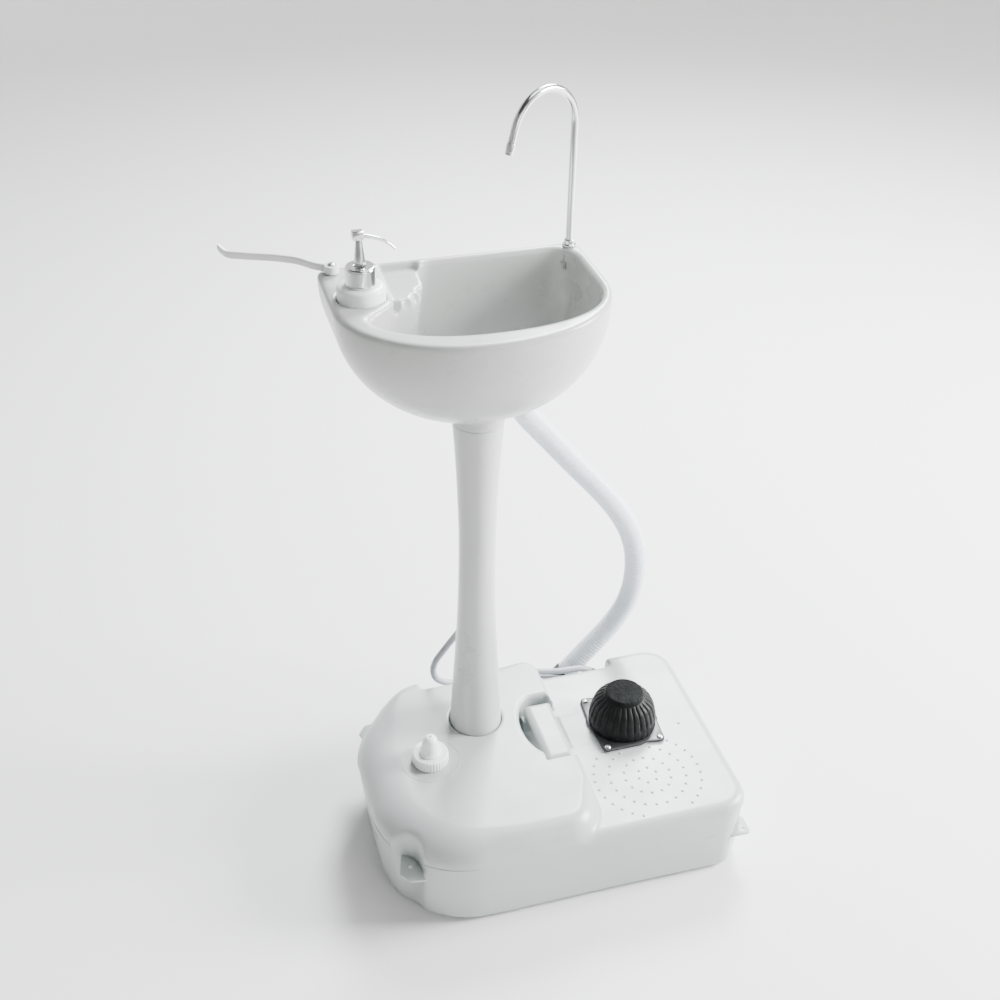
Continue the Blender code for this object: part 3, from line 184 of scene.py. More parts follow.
# painted shade: the grey shell plastic's base colours are set darker than the plastic itself to stand in for shade, and
# the tank, bowl and column copies differ in tone as painted light and shade
SHELL = moulded_plastic("shell_plastic", (0.455, 0.492, 0.484), (0.420, 0.458, 0.452), (0.27, 0.40), coat=0.12)
SHELL_BOWL = moulded_plastic("bowl_plastic", (0.480, 0.496, 0.480), (0.445, 0.463, 0.450), (0.24, 0.36), coat=0.15)
SHELL_COLUMN = moulded_plastic("column_plastic", (0.495, 0.512, 0.500), (0.460, 0.478, 0.468), (0.26, 0.38), coat=0.12)
WHITE = moulded_plastic("white_plastic", (0.93, 0.945, 0.95), (0.90, 0.915, 0.92), (0.20, 0.32), 1800.0,
                        (0.66, 0.67, 0.66), 0.07, 0.15, 0.05)
ARM_WHITE = moulded_plastic("arm_plastic", (0.80, 0.81, 0.80), (0.745, 0.755, 0.745), (0.26, 0.38), 1800.0,
                            (0.60, 0.60, 0.58), 0.12)
CHROME = metal("chrome_plate", (0.78, 0.78, 0.79))
STAINLESS = metal("spout_steel", (0.68, 0.68, 0.69), (0.10, 0.20), 0.03)
STEEL = metal("screw_steel", (0.66, 0.66, 0.67), (0.18, 0.34), 0.10, (1.0, 6.0, 1.0))
RUBBER = rubber("bellows_rubber", (0.006, 0.007, 0.007), (0.020, 0.022, 0.021), (0.34, 0.56))
RUBBER.node_tree.nodes["Principled BSDF"].inputs["Specular IOR Level"].default_value = 0.14
PAD_RUBBER = rubber("pad_rubber", (0.006, 0.007, 0.007), (0.022, 0.024, 0.023), (0.46, 0.64), 0.35)
PAD_RUBBER.node_tree.nodes["Principled BSDF"].inputs["Specular IOR Level"].default_value = 0.06
SEAL = rubber("seal_rubber", (0.016, 0.016, 0.017), (0.040, 0.040, 0.040))
BLACK = moulded_plastic("black_plastic", (0.022, 0.023, 0.024), (0.014, 0.015, 0.016), (0.30, 0.46), 1200.0,
                        (0.06, 0.06, 0.06), 0.30)
LINE = rubber("water_line", (0.36, 0.37, 0.40), (0.27, 0.28, 0.31), (0.22, 0.38))
HOSE = moulded_plastic("drain_hose_plastic", (0.86, 0.91, 0.985), (0.80, 0.86, 0.95), (0.25, 0.38), 1500.0,
                       (0.62, 0.66, 0.70), 0.10, 0.10, 0.15)
HOSE.node_tree.nodes["Principled BSDF"].inputs["Transmission Weight"].default_value = 0.12


# ------------------------------------------------------------------ helpers
def put(name, mesh, mat, body, nodes=(), angle=40, smooth=True):
    obj = bpy.data.objects.new(name, mesh)
    COLL.objects.link(obj)
    mesh.materials.clear()
    mesh.materials.append(mat)
    if smooth:
        mesh.shade_smooth()
        mesh.set_sharp_from_angle(angle=math.radians(angle))
    if body:
        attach(obj, body)
    if nodes:
        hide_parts(*nodes)
    return obj


def from_bm(name, bm):
    bmesh.ops.recalc_face_normals(bm, faces=bm.faces)
    mesh = bpy.data.meshes.new(name)
    bm.to_mesh(mesh)
    bm.free()
    return mesh


def from_arrays(name, verts, faces):
    mesh = bpy.data.meshes.new(name)
    mesh.from_pydata([tuple(map(float, v)) for v in verts], [], [tuple(map(int, f)) for f in faces])
    mesh.update()
    return mesh


def fillet(profile, r, n=3, closed=True):
    """Each corner of a profile replaced by a short round, at most r wide."""
    pts = [Vector((a, b)) for a, b in profile]
    out = []
    m = len(pts)
    for i, p in enumerate(pts):
        if not closed and i in (0, m - 1):
            out.append(p)
            continue
        a, b = pts[i - 1] - p, pts[(i + 1) % m] - p
        turn = math.pi - a.angle(b) if a.length > 1e-9 and b.length > 1e-9 else 0
        if turn < math.radians(8):
            out.append(p)
            continue
        k = min(r, 0.42 * a.length, 0.42 * b.length)
        u, v = p + a.normalized() * k, p + b.normalized() * k
        for j in range(n + 1):
            t = j / n
            out.append(u * (1 - t) ** 2 + p * 2 * t * (1 - t) + v * t * t)
    return [(q.x, q.y) for q in out]


def lathe_bm(profile, steps=64, closed=True, turn=None, at=(0, 0, 0), radius=None):
    """Solid of revolution about Z; radius(angle, r, z, i) may shape each ring."""
    bm = bmesh.new()
    rings = []
    for i, (r, z) in enumerate(profile):
        if r < 1e-7:
            rings.append([bm.verts.new((0, 0, z))])
            continue
        ring = []
        for k in range(steps):
            a = 2 * math.pi * k / steps
            q = radius(a, r, z, i) if radius else (r, z)
            ring.append(bm.verts.new((q[0] * math.cos(a), q[0] * math.sin(a), q[1])))
        rings.append(ring)
    pairs = list(zip(rings, rings[1:])) + ([(rings[-1], rings[0])] if closed else [])
    for a, b in pairs:
        if len(a) == 1 and len(b) == 1:
            continue
        for k in range(steps):
            j = (k + 1) % steps
            if len(a) == 1:
                bm.faces.new((a[0], b[k], b[j]))
            elif len(b) == 1:
                bm.faces.new((a[k], b[0], a[j]))
            else:
                bm.faces.new((a[k], b[k], b[j], a[j]))
    m = Matrix.Translation(Vector(at))
    if turn is not None:
        m = m @ turn.to_matrix().to_4x4()
    bmesh.ops.transform(bm, matrix=m, verts=bm.verts)
    return bm


def lathe(name, profile, mat, body, nodes, at, steps=64, closed=True, r=0.0006, turn=None, radius=None,
          angle=40):
    bm = lathe_bm(fillet(profile, r, 3, closed), steps, closed, turn, at, radius)
    return put(name, from_bm(name, bm), mat, body, nodes, angle)


def spline_through(points, count):
    p = [Vector(q) for q in points]
    p = [2 * p[0] - p[1]] + p + [2 * p[-1] - p[-2]]
    fine = []
    for i in range(1, len(p) - 2):
        a, b, c, d = p[i - 1:i + 3]
        t0 = 0.0
        t1 = t0 + math.sqrt((b - a).length)
        t2 = t1 + math.sqrt((c - b).length)
        t3 = t2 + math.sqrt((d - c).length)
        for k in range(24):
            t = t1 + (t2 - t1) * k / 24
            a1 = a * ((t1 - t) / (t1 - t0)) + b * ((t - t0) / (t1 - t0))
            a2 = b * ((t2 - t) / (t2 - t1)) + c * ((t - t1) / (t2 - t1))
            a3 = c * ((t3 - t) / (t3 - t2)) + d * ((t - t2) / (t3 - t2))
            b1 = a1 * ((t2 - t) / (t2 - t0)) + a2 * ((t - t0) / (t2 - t0))
            b2 = a2 * ((t3 - t) / (t3 - t1)) + a3 * ((t - t1) / (t3 - t1))
            fine.append(b1 * ((t2 - t) / (t2 - t1)) + b2 * ((t - t1) / (t2 - t1)))
    fine.append(p[-2])
    run = [0.0]
    for q, r in zip(fine, fine[1:]):
        run.append(run[-1] + (r - q).length)
    out = []
    for k in range(count):
        s = run[-1] * k / (count - 1)
        j = min(int(np.searchsorted(run, s, side="right")) - 1, len(fine) - 2)
        f = (s - run[j]) / max(run[j + 1] - run[j], 1e-12)
        out.append(fine[j].lerp(fine[j + 1], f))
    return out


def hose_line(route, count, stub=0.003):
    first, last = Vector(route[0]), Vector(route[-1])
    head = (Vector(route[1]) - first).normalized() * stub
    tail = (Vector(route[-2]) - last).normalized() * stub
    return [first, first + head] + spline_through(route, count)[1:-1] + [last + tail, last]


def run_length(pts):
    return sum((b - a).length for a, b in zip(pts, pts[1:]))


def sweep(points, radii, sides=20, bore=0.0):
    """Tube along points with one radius per point; bore > 0 leaves it open at both ends."""
    pts = [Vector(q) for q in points]
    n = len(pts)
    tang = [(pts[min(i + 1, n - 1)] - pts[max(i - 1, 0)]).normalized() for i in range(n)]
    side = tang[0].orthogonal().normalized()
    frames = []
    for t in tang:
        side = (side - t * side.dot(t)).normalized()
        frames.append((side, t.cross(side)))
    bm = bmesh.new()

    def ring(i, r):
        u, v = frames[i]
        return [bm.verts.new(pts[i] + r * (math.cos(2 * math.pi * k / sides) * u + math.sin(2 * math.pi * k / sides) * v))
                for k in range(sides)]

    outer = [ring(i, radii[i]) for i in range(n)]

    def skin(a, b):
        for k in range(sides):
            j = (k + 1) % sides
            bm.faces.new((a[k], a[j], b[j], b[k]))

    for a, b in zip(outer, outer[1:]):
        skin(a, b)
    if bore:
        inner = [ring(i, bore) for i in range(n)]
        for a, b in zip(inner, inner[1:]):
            skin(b, a)
        skin(inner[0], outer[0])
        skin(outer[-1], inner[-1])
    else:
        bm.faces.new(list(reversed(outer[0])))
        bm.faces.new(outer[-1])
    return bm


def rounded_ends(points, r, n=5):
    """Radii that close a tube with soft ends."""
    length = run_length(points)
    out, run = [], 0.0
    for i, q in enumerate(points):
        if i:
            run += (q - points[i - 1]).length
        d = min(run, length - run)
        out.append(r if d > r * 0.3 else r * (0.82 + 0.18 * math.sqrt(max(0.0, 1 - (1 - d / (r * 0.3)) ** 2))))
    return out


def joined(name, meshes):
    """One mesh out of several."""
    bm = bmesh.new()
    for m in meshes:
        bm.from_mesh(m)
        bpy.data.meshes.remove(m)
    mesh = bpy.data.meshes.new(name)
    bm.to_mesh(mesh)
    bm.free()
    return mesh


# -------------------------------------------------------------------- cords
DRAIN_X, DRAIN_Y = -0.0040, 0.1220
MOUTH = Vector((0.0940, 0.1960, 0.0700))
MOUTH_DIR = Vector((0.660, 0.0, 0.7513)).normalized()
HOSE_R = 0.0165
DRAIN_ROUTE = [(DRAIN_X, DRAIN_Y, 0.6397), (DRAIN_X, DRAIN_Y, 0.6290), (0.0092, 0.1285, 0.6080),
               (0.0337, 0.1380, 0.5749), (0.0869, 0.1520, 0.5048), (0.1304, 0.1610, 0.4492), (0.1682, 0.1700, 0.3924),
               (0.1955, 0.1790, 0.3279), (0.2042, 0.1870, 0.2575), (0.1955, 0.1920, 0.2043), (0.1715, 0.1950, 0.1606),
               (0.1440, 0.1960, 0.1270), tuple(MOUTH + MOUTH_DIR * 0.0370), tuple(MOUTH + MOUTH_DIR * 0.0183)]
drain_line = hose_line(DRAIN_ROUTE, 22, 0.010)
drain_length = run_length(drain_line)
PITCH_RIB = 0.0052
ribs = int(drain_length / PITCH_RIB)
fine_line = spline_through([drain_line[0]] + drain_line[1:-1] + [drain_line[-1]], ribs * 6 + 1)
radii = []
for i in range(len(fine_line)):
    t = (i % 6) / 6
    wave = 0.5 + 0.5 * math.cos(2 * math.pi * t)
    radii.append(HOSE_R - 0.0011 * (1 - wave ** 0.7))
for i in range(3):
    radii[i] = radii[-1 - i] = HOSE_R - 0.0012
hose = put("corrugated_drain_hose", from_bm("corrugated_drain_hose", sweep(fine_line, radii, 36, 0.0128)), HOSE, "root",
           ["drain_hose"], 60)

LINE_Z, LINE_R = 0.0980, 0.00485
out_corner = Vector((-0.1120, 0.1590, LINE_Z))
PUMP_X, PUMP_Y = 0.1330, 0.0268
in_dir = Vector((-0.985, 0.10, 0.14)).normalized()
in_start = Vector((PUMP_X - 0.0130, 0.1580, LINE_Z)) + in_dir * 0.0133
SUCTION_ROUTE = [tuple(out_corner + Vector((0.0143, 0, 0))), tuple(out_corner + Vector((0.0240, 0, 0))),
                 (-0.0680, 0.1670, 0.0980), (-0.0500, 0.1755, 0.0985), (-0.0250, 0.1780, 0.0985),
                 (0.0100, 0.1782, 0.0985), (0.0440, 0.1772, 0.0990), (0.0660, 0.1715, 0.1000),
                 (0.0860, 0.1640, 0.1000), tuple(in_start + in_dir * 0.0100), tuple(in_start)]
FAUCET_X, FAUCET_Y, RIM_Z = 0.0746, 0.1950, 0.8144
out_dir = Vector((-0.84, 0.05, 0.54)).normalized()
out_start = Vector((PUMP_X + 0.0130, 0.1640, LINE_Z)) + out_dir * 0.0133
SUPPLY_ROUTE = [tuple(out_start), tuple(out_start + out_dir * 0.0100), (0.1050, 0.1665, 0.1130), (0.0760, 0.1690, 0.1130),
                (0.0480, 0.1770, 0.1125), (0.0100, 0.1780, 0.1105), (-0.0400, 0.1778, 0.1120),
                (-0.0700, 0.1745, 0.1220), (-0.0930, 0.1640, 0.1368), (-0.1116, 0.1600, 0.1494),
                (-0.1182, 0.1600, 0.1655), (-0.1174, 0.1600, 0.1828), (-0.1100, 0.1600, 0.1950),
                (-0.0973, 0.1600, 0.2134), (-0.0866, 0.1580, 0.2303), (-0.0745, 0.1480, 0.2600),
                (-0.0680, 0.1260, 0.3250), (-0.0660, 0.1090, 0.4000), (-0.0660, 0.1080, 0.4800),
                (-0.0655, 0.1110, 0.5500), (-0.0600, 0.1250, 0.6120), (-0.0420, 0.1510, 0.6600),
                (-0.0060, 0.1800, 0.6840), (0.0380, 0.1935, 0.6980), (0.0660, 0.1952, 0.7200),
                (FAUCET_X, FAUCET_Y, 0.7500), (FAUCET_X, FAUCET_Y, RIM_Z - 0.0503)]


def water_line(name, route, count, node_name):
    coarse = hose_line(route, count)
    dense = spline_through(coarse, count * 5)
    mesh = from_bm(name, sweep(dense, [LINE_R] * len(dense), 20, 0.0031))
    obj = put(name, mesh, LINE, "root", [node_name], 60)
    return obj, dense


suction, suction_pts = water_line("suction_hose", SUCTION_ROUTE, 18, "suction_line")
supply, supply_pts = water_line("supply_hose", SUPPLY_ROUTE, 56, "supply_line")
print("cord lengths", round(run_length(fine_line), 3), round(run_length(suction_pts), 3), round(run_length(supply_pts), 3))


# ---------------------------------------------- moulded shells: field to mesh
def smin(a, b, k):
    h = np.clip(0.5 + 0.5 * (b - a) / k, 0, 1)
    return b + (a - b) * h - k * h * (1 - h)


def smax(a, b, k):
    return -smin(-a, -b, k)


def step01(x, a, b):
    t = np.clip((x - a) / (b - a), 0, 1)
    return t * t * (3 - 2 * t)


def box2(x, y, x0, x1, y0, y1, r):
    qx = np.abs(x - (x0 + x1) / 2) - (x1 - x0) / 2 + r
    qy = np.abs(y - (y0 + y1) / 2) - (y1 - y0) / 2 + r
    return np.minimum(np.maximum(qx, qy), 0) + np.hypot(np.maximum(qx, 0), np.maximum(qy, 0)) - r


def mesh_field(name, field, low, high, step, pull=4):
    """Closed surface where field is zero, as evenly spaced quads drawn onto the exact surface."""
    axes = [np.arange(l - step, h + 2 * step, step) for l, h in zip(low, high)]
    nx, ny, nz = map(len, axes)
    X, Y = np.meshgrid(axes[0], axes[1], indexing="ij")
    F = np.empty((nx, ny, nz), np.float32)
    for k, z in enumerate(axes[2]):
        F[:, :, k] = field(X.ravel(), Y.ravel(), np.full(X.size, z)).reshape(nx, ny)
    inside = F < 0
    cell = np.zeros((nx - 1, ny - 1, nz - 1), np.int8)
    for dx in (0, 1):
        for dy in (0, 1):
            for dz in (0, 1):
                cell += inside[dx:nx - 1 + dx, dy:ny - 1 + dy, dz:nz - 1 + dz]
    active = (cell > 0) & (cell < 8)
    index = np.full(active.shape, -1, np.int64)
    ii, jj, kk = np.nonzero(active)
    index[ii, jj, kk] = np.arange(len(ii))
    acc = np.zeros((len(ii), 3))
    cnt = np.zeros(len(ii))
    corners = [(dx, dy, dz) for dx in (0, 1) for dy in (0, 1) for dz in (0, 1)]
    for a in corners:
        for axis in range(3):
            if a[axis]:
                continue
            b = list(a)
            b[axis] = 1
            fa = F[ii + a[0], jj + a[1], kk + a[2]]
            fb = F[ii + b[0], jj + b[1], kk + b[2]]
            hit = (fa < 0) != (fb < 0)
            t = np.where(hit, fa / np.where(hit, fa - fb, 1), 0)
            p = np.stack([np.full(len(ii), a[0], float), np.full(len(ii), a[1], float), np.full(len(ii), a[2], float)], 1)
            p[:, axis] += t
            acc += p * hit[:, None]
            cnt += hit
    pos = (acc / cnt[:, None] + np.stack([ii, jj, kk], 1)) * step + np.array([axes[0][0], axes[1][0], axes[2][0]])
    quads = []
    for axis in range(3):
        o1, o2 = [(1, 2), (2, 0), (0, 1)][axis]
        sl_a = [slice(None)] * 3
        sl_b = [slice(None)] * 3
        sl_a[axis] = slice(0, -1)
        sl_b[axis] = slice(1, None)
        change = inside[tuple(sl_a)] != inside[tuple(sl_b)]
        first = inside[tuple(sl_a)]
        pi = np.argwhere(change)
        ok = (pi[:, o1] > 0) & (pi[:, o2] > 0) & (pi[:, o1] < active.shape[o1]) & (pi[:, o2] < active.shape[o2])
        pi = pi[ok]
        f = first[pi[:, 0], pi[:, 1], pi[:, 2]]

        def at(d1, d2):
            q = pi.copy()
            q[:, o1] += d1
            q[:, o2] += d2
            return index[q[:, 0], q[:, 1], q[:, 2]]

        quad = np.stack([at(-1, -1), at(0, -1), at(0, 0), at(-1, 0)], 1)
        quad[~f] = quad[~f][:, ::-1]
        quads.append(quad)
    quads = np.concatenate(quads)
    # even out the points, and draw them back onto the surface
    edge_a = quads[:, [0, 1, 2, 3]].ravel()
    edge_b = quads[:, [1, 2, 3, 0]].ravel()
    h = step * 0.08
    for it in range(pull):
        if it < pull - 1:
            total = np.zeros_like(pos)
            num = np.zeros(len(pos))
            for c in range(3):
                total[:, c] = np.bincount(edge_a, pos[edge_b, c], len(pos)) + np.bincount(edge_b, pos[edge_a, c], len(pos))
            num = np.bincount(edge_a, minlength=len(pos)) + np.bincount(edge_b, minlength=len(pos))
            pos = pos * 0.5 + 0.5 * total / num[:, None]
        for _ in range(2):
            f0 = field(pos[:, 0], pos[:, 1], pos[:, 2])
            g = np.stack([field(pos[:, 0] + h * (c == 0), pos[:, 1] + h * (c == 1), pos[:, 2] + h * (c == 2)) -
                          field(pos[:, 0] - h * (c == 0), pos[:, 1] - h * (c == 1), pos[:, 2] - h * (c == 2))
                          for c in range(3)], 1) / (2 * h)
            gg = np.maximum((g ** 2).sum(1), 0.05)
            move = -g * (f0 / gg)[:, None]
            size = np.linalg.norm(move, axis=1)
            move *= np.minimum(1, 0.7 * step / np.maximum(size, 1e-12))[:, None]
            pos = pos + move
    for c in range(3):
        pos[:, c] = np.clip(pos[:, c], low[c], high[c])
    return from_arrays(name, pos, quads)


# --------------------------------------------------------------------- tank
TX0, TX1, HW, PZ = -0.2560, 0.2560, 0.1700, 0.1120
BX1, BZ, DZ = 0.0420, 0.1510, 0.1260
COL_X, COL_Y = -0.0790, 0.0680
CAP_X, CAP_Y = -0.1625, 0.0030


def corner_box(x, y, x0, x1, hw, r_left, r_front, r_back):
    """Rectangle with its own corner radii: left, right front, right back."""
    cx, hx = (x0 + x1) / 2, (x1 - x0) / 2
    r = np.where(x < cx, r_left, np.where(y < 0, r_front, r_back))
    qx = np.abs(x - cx) - hx + r
    qy = np.abs(y) - hw + r
    return np.minimum(np.maximum(qx, qy), 0) + np.hypot(np.maximum(qx, 0), np.maximum(qy, 0)) - r


def rounded_top(d, z, z1, a, b):
    u, v = (d + a) / a, (z - z1 + b) / b
    g = np.where((u > 0) & (v > 0), np.hypot(np.maximum(u, 0), np.maximum(v, 0)), np.maximum(u, v)) - 1
    return g * np.minimum(a, b)


def tank_field(x, y, z):
    lean = (0.0028 + 0.0028 * step01(-x, -0.22, 0.0) + 0.0055 * step01(-x, 0.08, 0.24)) * np.clip((PZ - z) / PZ, 0, 1)
    block2 = corner_box(x, y, TX0, BX1, HW, 0.128, 0.052, 0.026) + lean
    deck2 = corner_box(x, y, -0.080, TX1, HW, 0.02, 0.042, 0.042) + lean
    a = 0.030 + 0.026 * step01(-x, 0.06, 0.22)
    a = a + (0.017 - a) * step01(y, 0.06, 0.14) * step01(x, -0.22, -0.16)
    right = step01(x, -0.020, 0.026) * step01(y, -0.135, -0.070)
    a = a + (0.0085 - a) * right
    b = 0.038 + (0.012 - 0.038) * right
    b = b + (0.018 - b) * step01(y, 0.06, 0.14) * step01(x, -0.22, -0.16)
    block = rounded_top(block2, z, BZ, a, b)
    deck = rounded_top(deck2, z, DZ, 0.014, 0.014)
    body = smin(block, deck, 0.007)
    whole2 = np.minimum(block2, deck2)
    body = np.maximum(body, rounded_top(whole2, -z, 0.0, 0.012, 0.012))
    # neck of the filler
    rc = np.hypot(x - CAP_X, y - CAP_Y)
    body = smin(body, np.maximum(rc - 0.0195, z - 0.1612), 0.004)
    # corner grooves
    for gy, top in ((-0.1289, 0.20), (0.1289, 0.128)):
        g = np.hypot(x + 0.2355, y - gy) - 0.0258
        body = smax(body, -smax(g, z - top, 0.006), 0.008)
    for gy in (-0.1690, 0.1690):
        g = np.hypot(x - 0.2590, y - gy) - 0.0235 - 0.02 * np.clip((PZ - z), 0, 0.12)
        body = smax(body, -smax(g, z - 0.104, 0.012), 0.006)
    # socket of the column
    body = smax(body, -np.maximum(np.hypot(x - COL_X, y - COL_Y) - 0.0381, 0.1317 - z), 0.0025)
    # hand scoop, pedestal and seats of the carry bar
    ex, ey = (x - 0.0140) / 0.0350, (y - 0.0290) / 0.0600
    k0, k1 = np.hypot(ex, ey) + 1e-9, np.hypot(ex / 0.0350, ey / 0.0600) + 1e-9
    scoop = np.where(x < 0.0140, k0 * (k0 - 1) / k1, np.abs(y - 0.0290) - 0.0600)
    scoop = smax(scoop, x - 0.0368, 0.006)
    body = smax(body, -smax(scoop, 0.1080 - z, 0.010), 0.005)
    ped = box2(x, y, -0.0080, 0.0392, 0.0600, 0.0765, 0.003)
    body = smin(body, np.maximum(np.maximum(ped, z - 0.1262), 0.100 - z), 0.003)
    slot = np.maximum(np.maximum(np.maximum(0.028 - x, x - 0.075), np.abs(y - 0.0175) - 0.0565), 0.1285 - z)
    body = smax(body, -slot, 0.0016)
    seat = np.maximum(np.maximum(np.maximum(-0.0046 - x, x - 0.075), np.abs(y + 0.0222) - 0.0174), 0.1264 - z)
    body = smax(body, -seat, 0.0016)
    rear = np.maximum(np.maximum(np.maximum(0.028 - x, x - 0.075), np.abs(y - 0.0672) - 0.0074), 0.1264 - z)
    body = smax(body, -rear, 0.0016)
    # hose recess and line notch
    body = smax(body, -box2(x, y, 0.0480, 0.1585, 0.1470, 0.30, 0.006), 0.007)
    body = smax(body, -box2(x, y, -0.1400, -0.0450, 0.1480, 0.30, 0.006), 0.007)
    # bores for the pump's pipes, the pump well and the filler
    for px in (PUMP_X - 0.0130, PUMP_X + 0.0130):
        body = np.maximum(body, -np.maximum(np.hypot(x - px, z - 0.098) - 0.0056, 0.100 - y))
    body = np.maximum(body, -np.maximum(np.hypot(x + 0.112, z - 0.098) - 0.0056, 0.130 - y))
    body = np.maximum(body, -np.maximum(np.hypot(x - PUMP_X, y - PUMP_Y) - 0.0400, 0.0800 - z))
    body = np.maximum(body, -np.maximum(rc - 0.0160, 0.125 - z))
    return body


tank_mesh = mesh_field("tank_shell", tank_field, (TX0, -HW, 0.0), (TX1, HW, 0.1620), 0.0026)


def surface_radius(angle, z, centre=(0.0, 0.0)):
    """Distance from centre to the tank's skin at height z along a direction."""
    lo, hi = np.zeros_like(angle) + 0.10, np.zeros_like(angle) + 0.40
    for _ in range(26):
        mid = 0.5 * (lo + hi)
        f = tank_field(centre[0] + mid * np.cos(angle), centre[1] + mid * np.sin(angle), np.full_like(angle, z))
        lo, hi = np.where(f < 0, mid, lo), np.where(f < 0, hi, mid)
    return 0.5 * (lo + hi)


def bead(points, r, sides=8, closed=False):
    pts = [Vector(q) for q in points]
    return from_bm("bead", sweep(pts, [r * (0.35 if i in (0, len(pts) - 1) else 1.0) for i in range(len(pts))], sides))


extras = []
# parting ridge: runs round the tank and dies away in the grooves
ang = np.radians(np.arange(0, 360, 0.35))
rad = surface_radius(ang, PZ)
px_, py_ = rad * np.cos(ang), rad * np.sin(ang)
keep = np.ones(len(ang), bool)
for gx, gy, gr in ((-0.2355, -0.1289, 0.031), (-0.2355, 0.1289, 0.031), (0.259, -0.169, 0.031), (0.259, 0.169, 0.031)):
    keep &= np.hypot(px_ - gx, py_ - gy) > gr
keep &= ~((px_ > 0.040) & (px_ < 0.168) & (py_ > 0.12)) & ~((px_ > -0.150) & (px_ < -0.035) & (py_ > 0.12))
start = int(np.nonzero(~keep)[0][0])
order = [(start + i) % len(ang) for i in range(len(ang))]
chain = []
px_ = np.clip(px_, TX0 + 0.0010, TX1 - 0.0010)
py_ = np.clip(py_, 0.0010 - HW, HW - 0.0010)
for i in order + [start]:
    if keep[i]:
        chain.append((px_[i], py_[i], PZ))
    else:
        if len(chain) > 6:
            extras.append(bead(chain, 0.0010))
        chain = []
# grip dots around the deck's front
dots = []
for r, n, phase in ((0.014, 6, 0.2), (0.0330, 14, 0.1), (0.0545, 22, 0.0), (0.0760, 31, 0.05)):
    for i in range(n):
        a = 2 * math.pi * (i + phase) / n
        x, y = 0.131 + r * math.cos(a), -0.083 + r * math.sin(a)
        if x < 0.055 or x > 0.236 or y < -0.152 or y > 0.010:
            continue
        if math.hypot(x - PUMP_X, y - PUMP_Y) < 0.0625 or (x - 0.239) ** 2 + (y + 0.152) ** 2 < 0.03 ** 2:
            continue
        dots.append((x, y))
dots.append((0.213, 0.001))
bm = bmesh.new()
for x, y in dots:
    ring0 = None
    for k, (rr, zz) in enumerate(((0.0023, -0.0004), (0.0021, 0.0005), (0.0015, 0.0012), (0.0007, 0.0015))):
        ring = [bm.verts.new((x + rr * math.cos(a), y + rr * math.sin(a), DZ + zz))
                for a in [2 * math.pi * j / 12 for j in range(12)]]
        if ring0:
            for j in range(12):
                bm.faces.new((ring0[j], ring0[(j + 1) % 12], ring[(j + 1) % 12], ring[j]))
        else:
            bm.faces.new(list(reversed(ring)))
        ring0 = ring
    bm.faces.new(ring0)
extras.append(from_bm("grip_dots", bm))
# faint circle round the filler
circle = [(CAP_X + 0.041 * math.cos(a), CAP_Y + 0.041 * math.sin(a), BZ - 0.0003)
          for a in np.linspace(0, 2 * math.pi, 97)]
extras.append(bead(circle, 0.0007))


def plate(points, z0, z1, bevel=0.0006):
    bm = bmesh.new()
    lower = [bm.verts.new((x, y, z0)) for x, y in points]
    upper = [bm.verts.new((x, y, z1)) for x, y in points]
    n = len(points)
    bm.faces.new(list(reversed(lower)))
    bm.faces.new(upper)
    for i in range(n):
        bm.faces.new((lower[i], lower[(i + 1) % n], upper[(i + 1) % n], upper[i]))
    bmesh.ops.recalc_face_normals(bm, faces=bm.faces)
    sharp = [e for e in bm.edges if len(e.link_faces) == 2 and e.calc_face_angle(0) > 0.6]
    bmesh.ops.bevel(bm, geom=sharp, offset=bevel, segments=2, affect="EDGES", profile=0.5)
    return bm


def holed(bm, holes, r, z0, z1, name="holed"):
    """Plate with round holes cut through it."""
    base = bpy.data.objects.new(name, from_bm(name, bm))
    COLL.objects.link(base)
    cut = bmesh.new()
    for x, y in holes:
        part = lathe_bm([(0, z0 - 0.01), (r, z0 - 0.01), (r, z1 + 0.01), (0, z1 + 0.01)], 24, False, at=(x, y, 0))
        m = from_bm("c", part)
        cut.from_mesh(m)
        bpy.data.meshes.remove(m)
    cutter = bpy.data.objects.new("cutter", from_bm("cutter", cut))
    COLL.objects.link(cutter)
    mod = base.modifiers.new("holes", "BOOLEAN")
    mod.operation, mod.object, mod.solver = "DIFFERENCE", cutter, "EXACT"
    bpy.context.view_layer.update()
    mesh = bpy.data.meshes.new_from_object(base.evaluated_get(bpy.context.evaluated_depsgraph_get()))
    bpy.data.objects.remove(base, do_unlink=True)
    bpy.data.objects.remove(cutter, do_unlink=True)
    return mesh


for sy in (1, -1):
    gx, gy = -0.2355, -0.1289 * sy
    pts = [(gx + dx, gy + sy * dy) for dx, dy in ((-0.0045, 0.0000), (-0.0030, -0.0057), (0.0050, -0.0160),
                                                  (0.0130, -0.0200), (0.0200, -0.0180), (0.0280, -0.0050),
                                                  (0.0290, 0.0120), (0.0170, 0.0250), (0.0060, 0.0200))]
    pts = pts if sy > 0 else pts[::-1]
    pts = [(gx + dx, gy + sy * dy) for dx, dy in ((-0.0037, -0.0057), (0.0065, -0.0200), (0.0270, -0.0239),
                                                  (0.0270, 0.0081), (0.0175, 0.0244), (0.0040, 0.0240))]
    pts = pts if sy > 0 else pts[::-1]
    extras.append(holed(plate(pts, 0.0920, 0.0954), [(gx + 0.0125, gy + sy * 0.0031)], 0.0027, 0.0920, 0.0954))
for sy in (1, -1):
    gx, gy = 0.2590, -0.1690 * sy
    pts = [(gx + dx, gy + sy * dy) for dx, dy in ((0.0000, 0.030), (-0.0005, 0.0045), (-0.0022, 0.0018), (-0.0048, 0.0006),
                                                  (-0.030, 0.0012), (-0.036, 0.016), (-0.020, 0.036))]
    extras.append(holed(plate(pts, 0.0590, 0.0624), [(gx - 0.0090, gy + sy * 0.0090)], 0.0027, 0.0590, 0.0624))
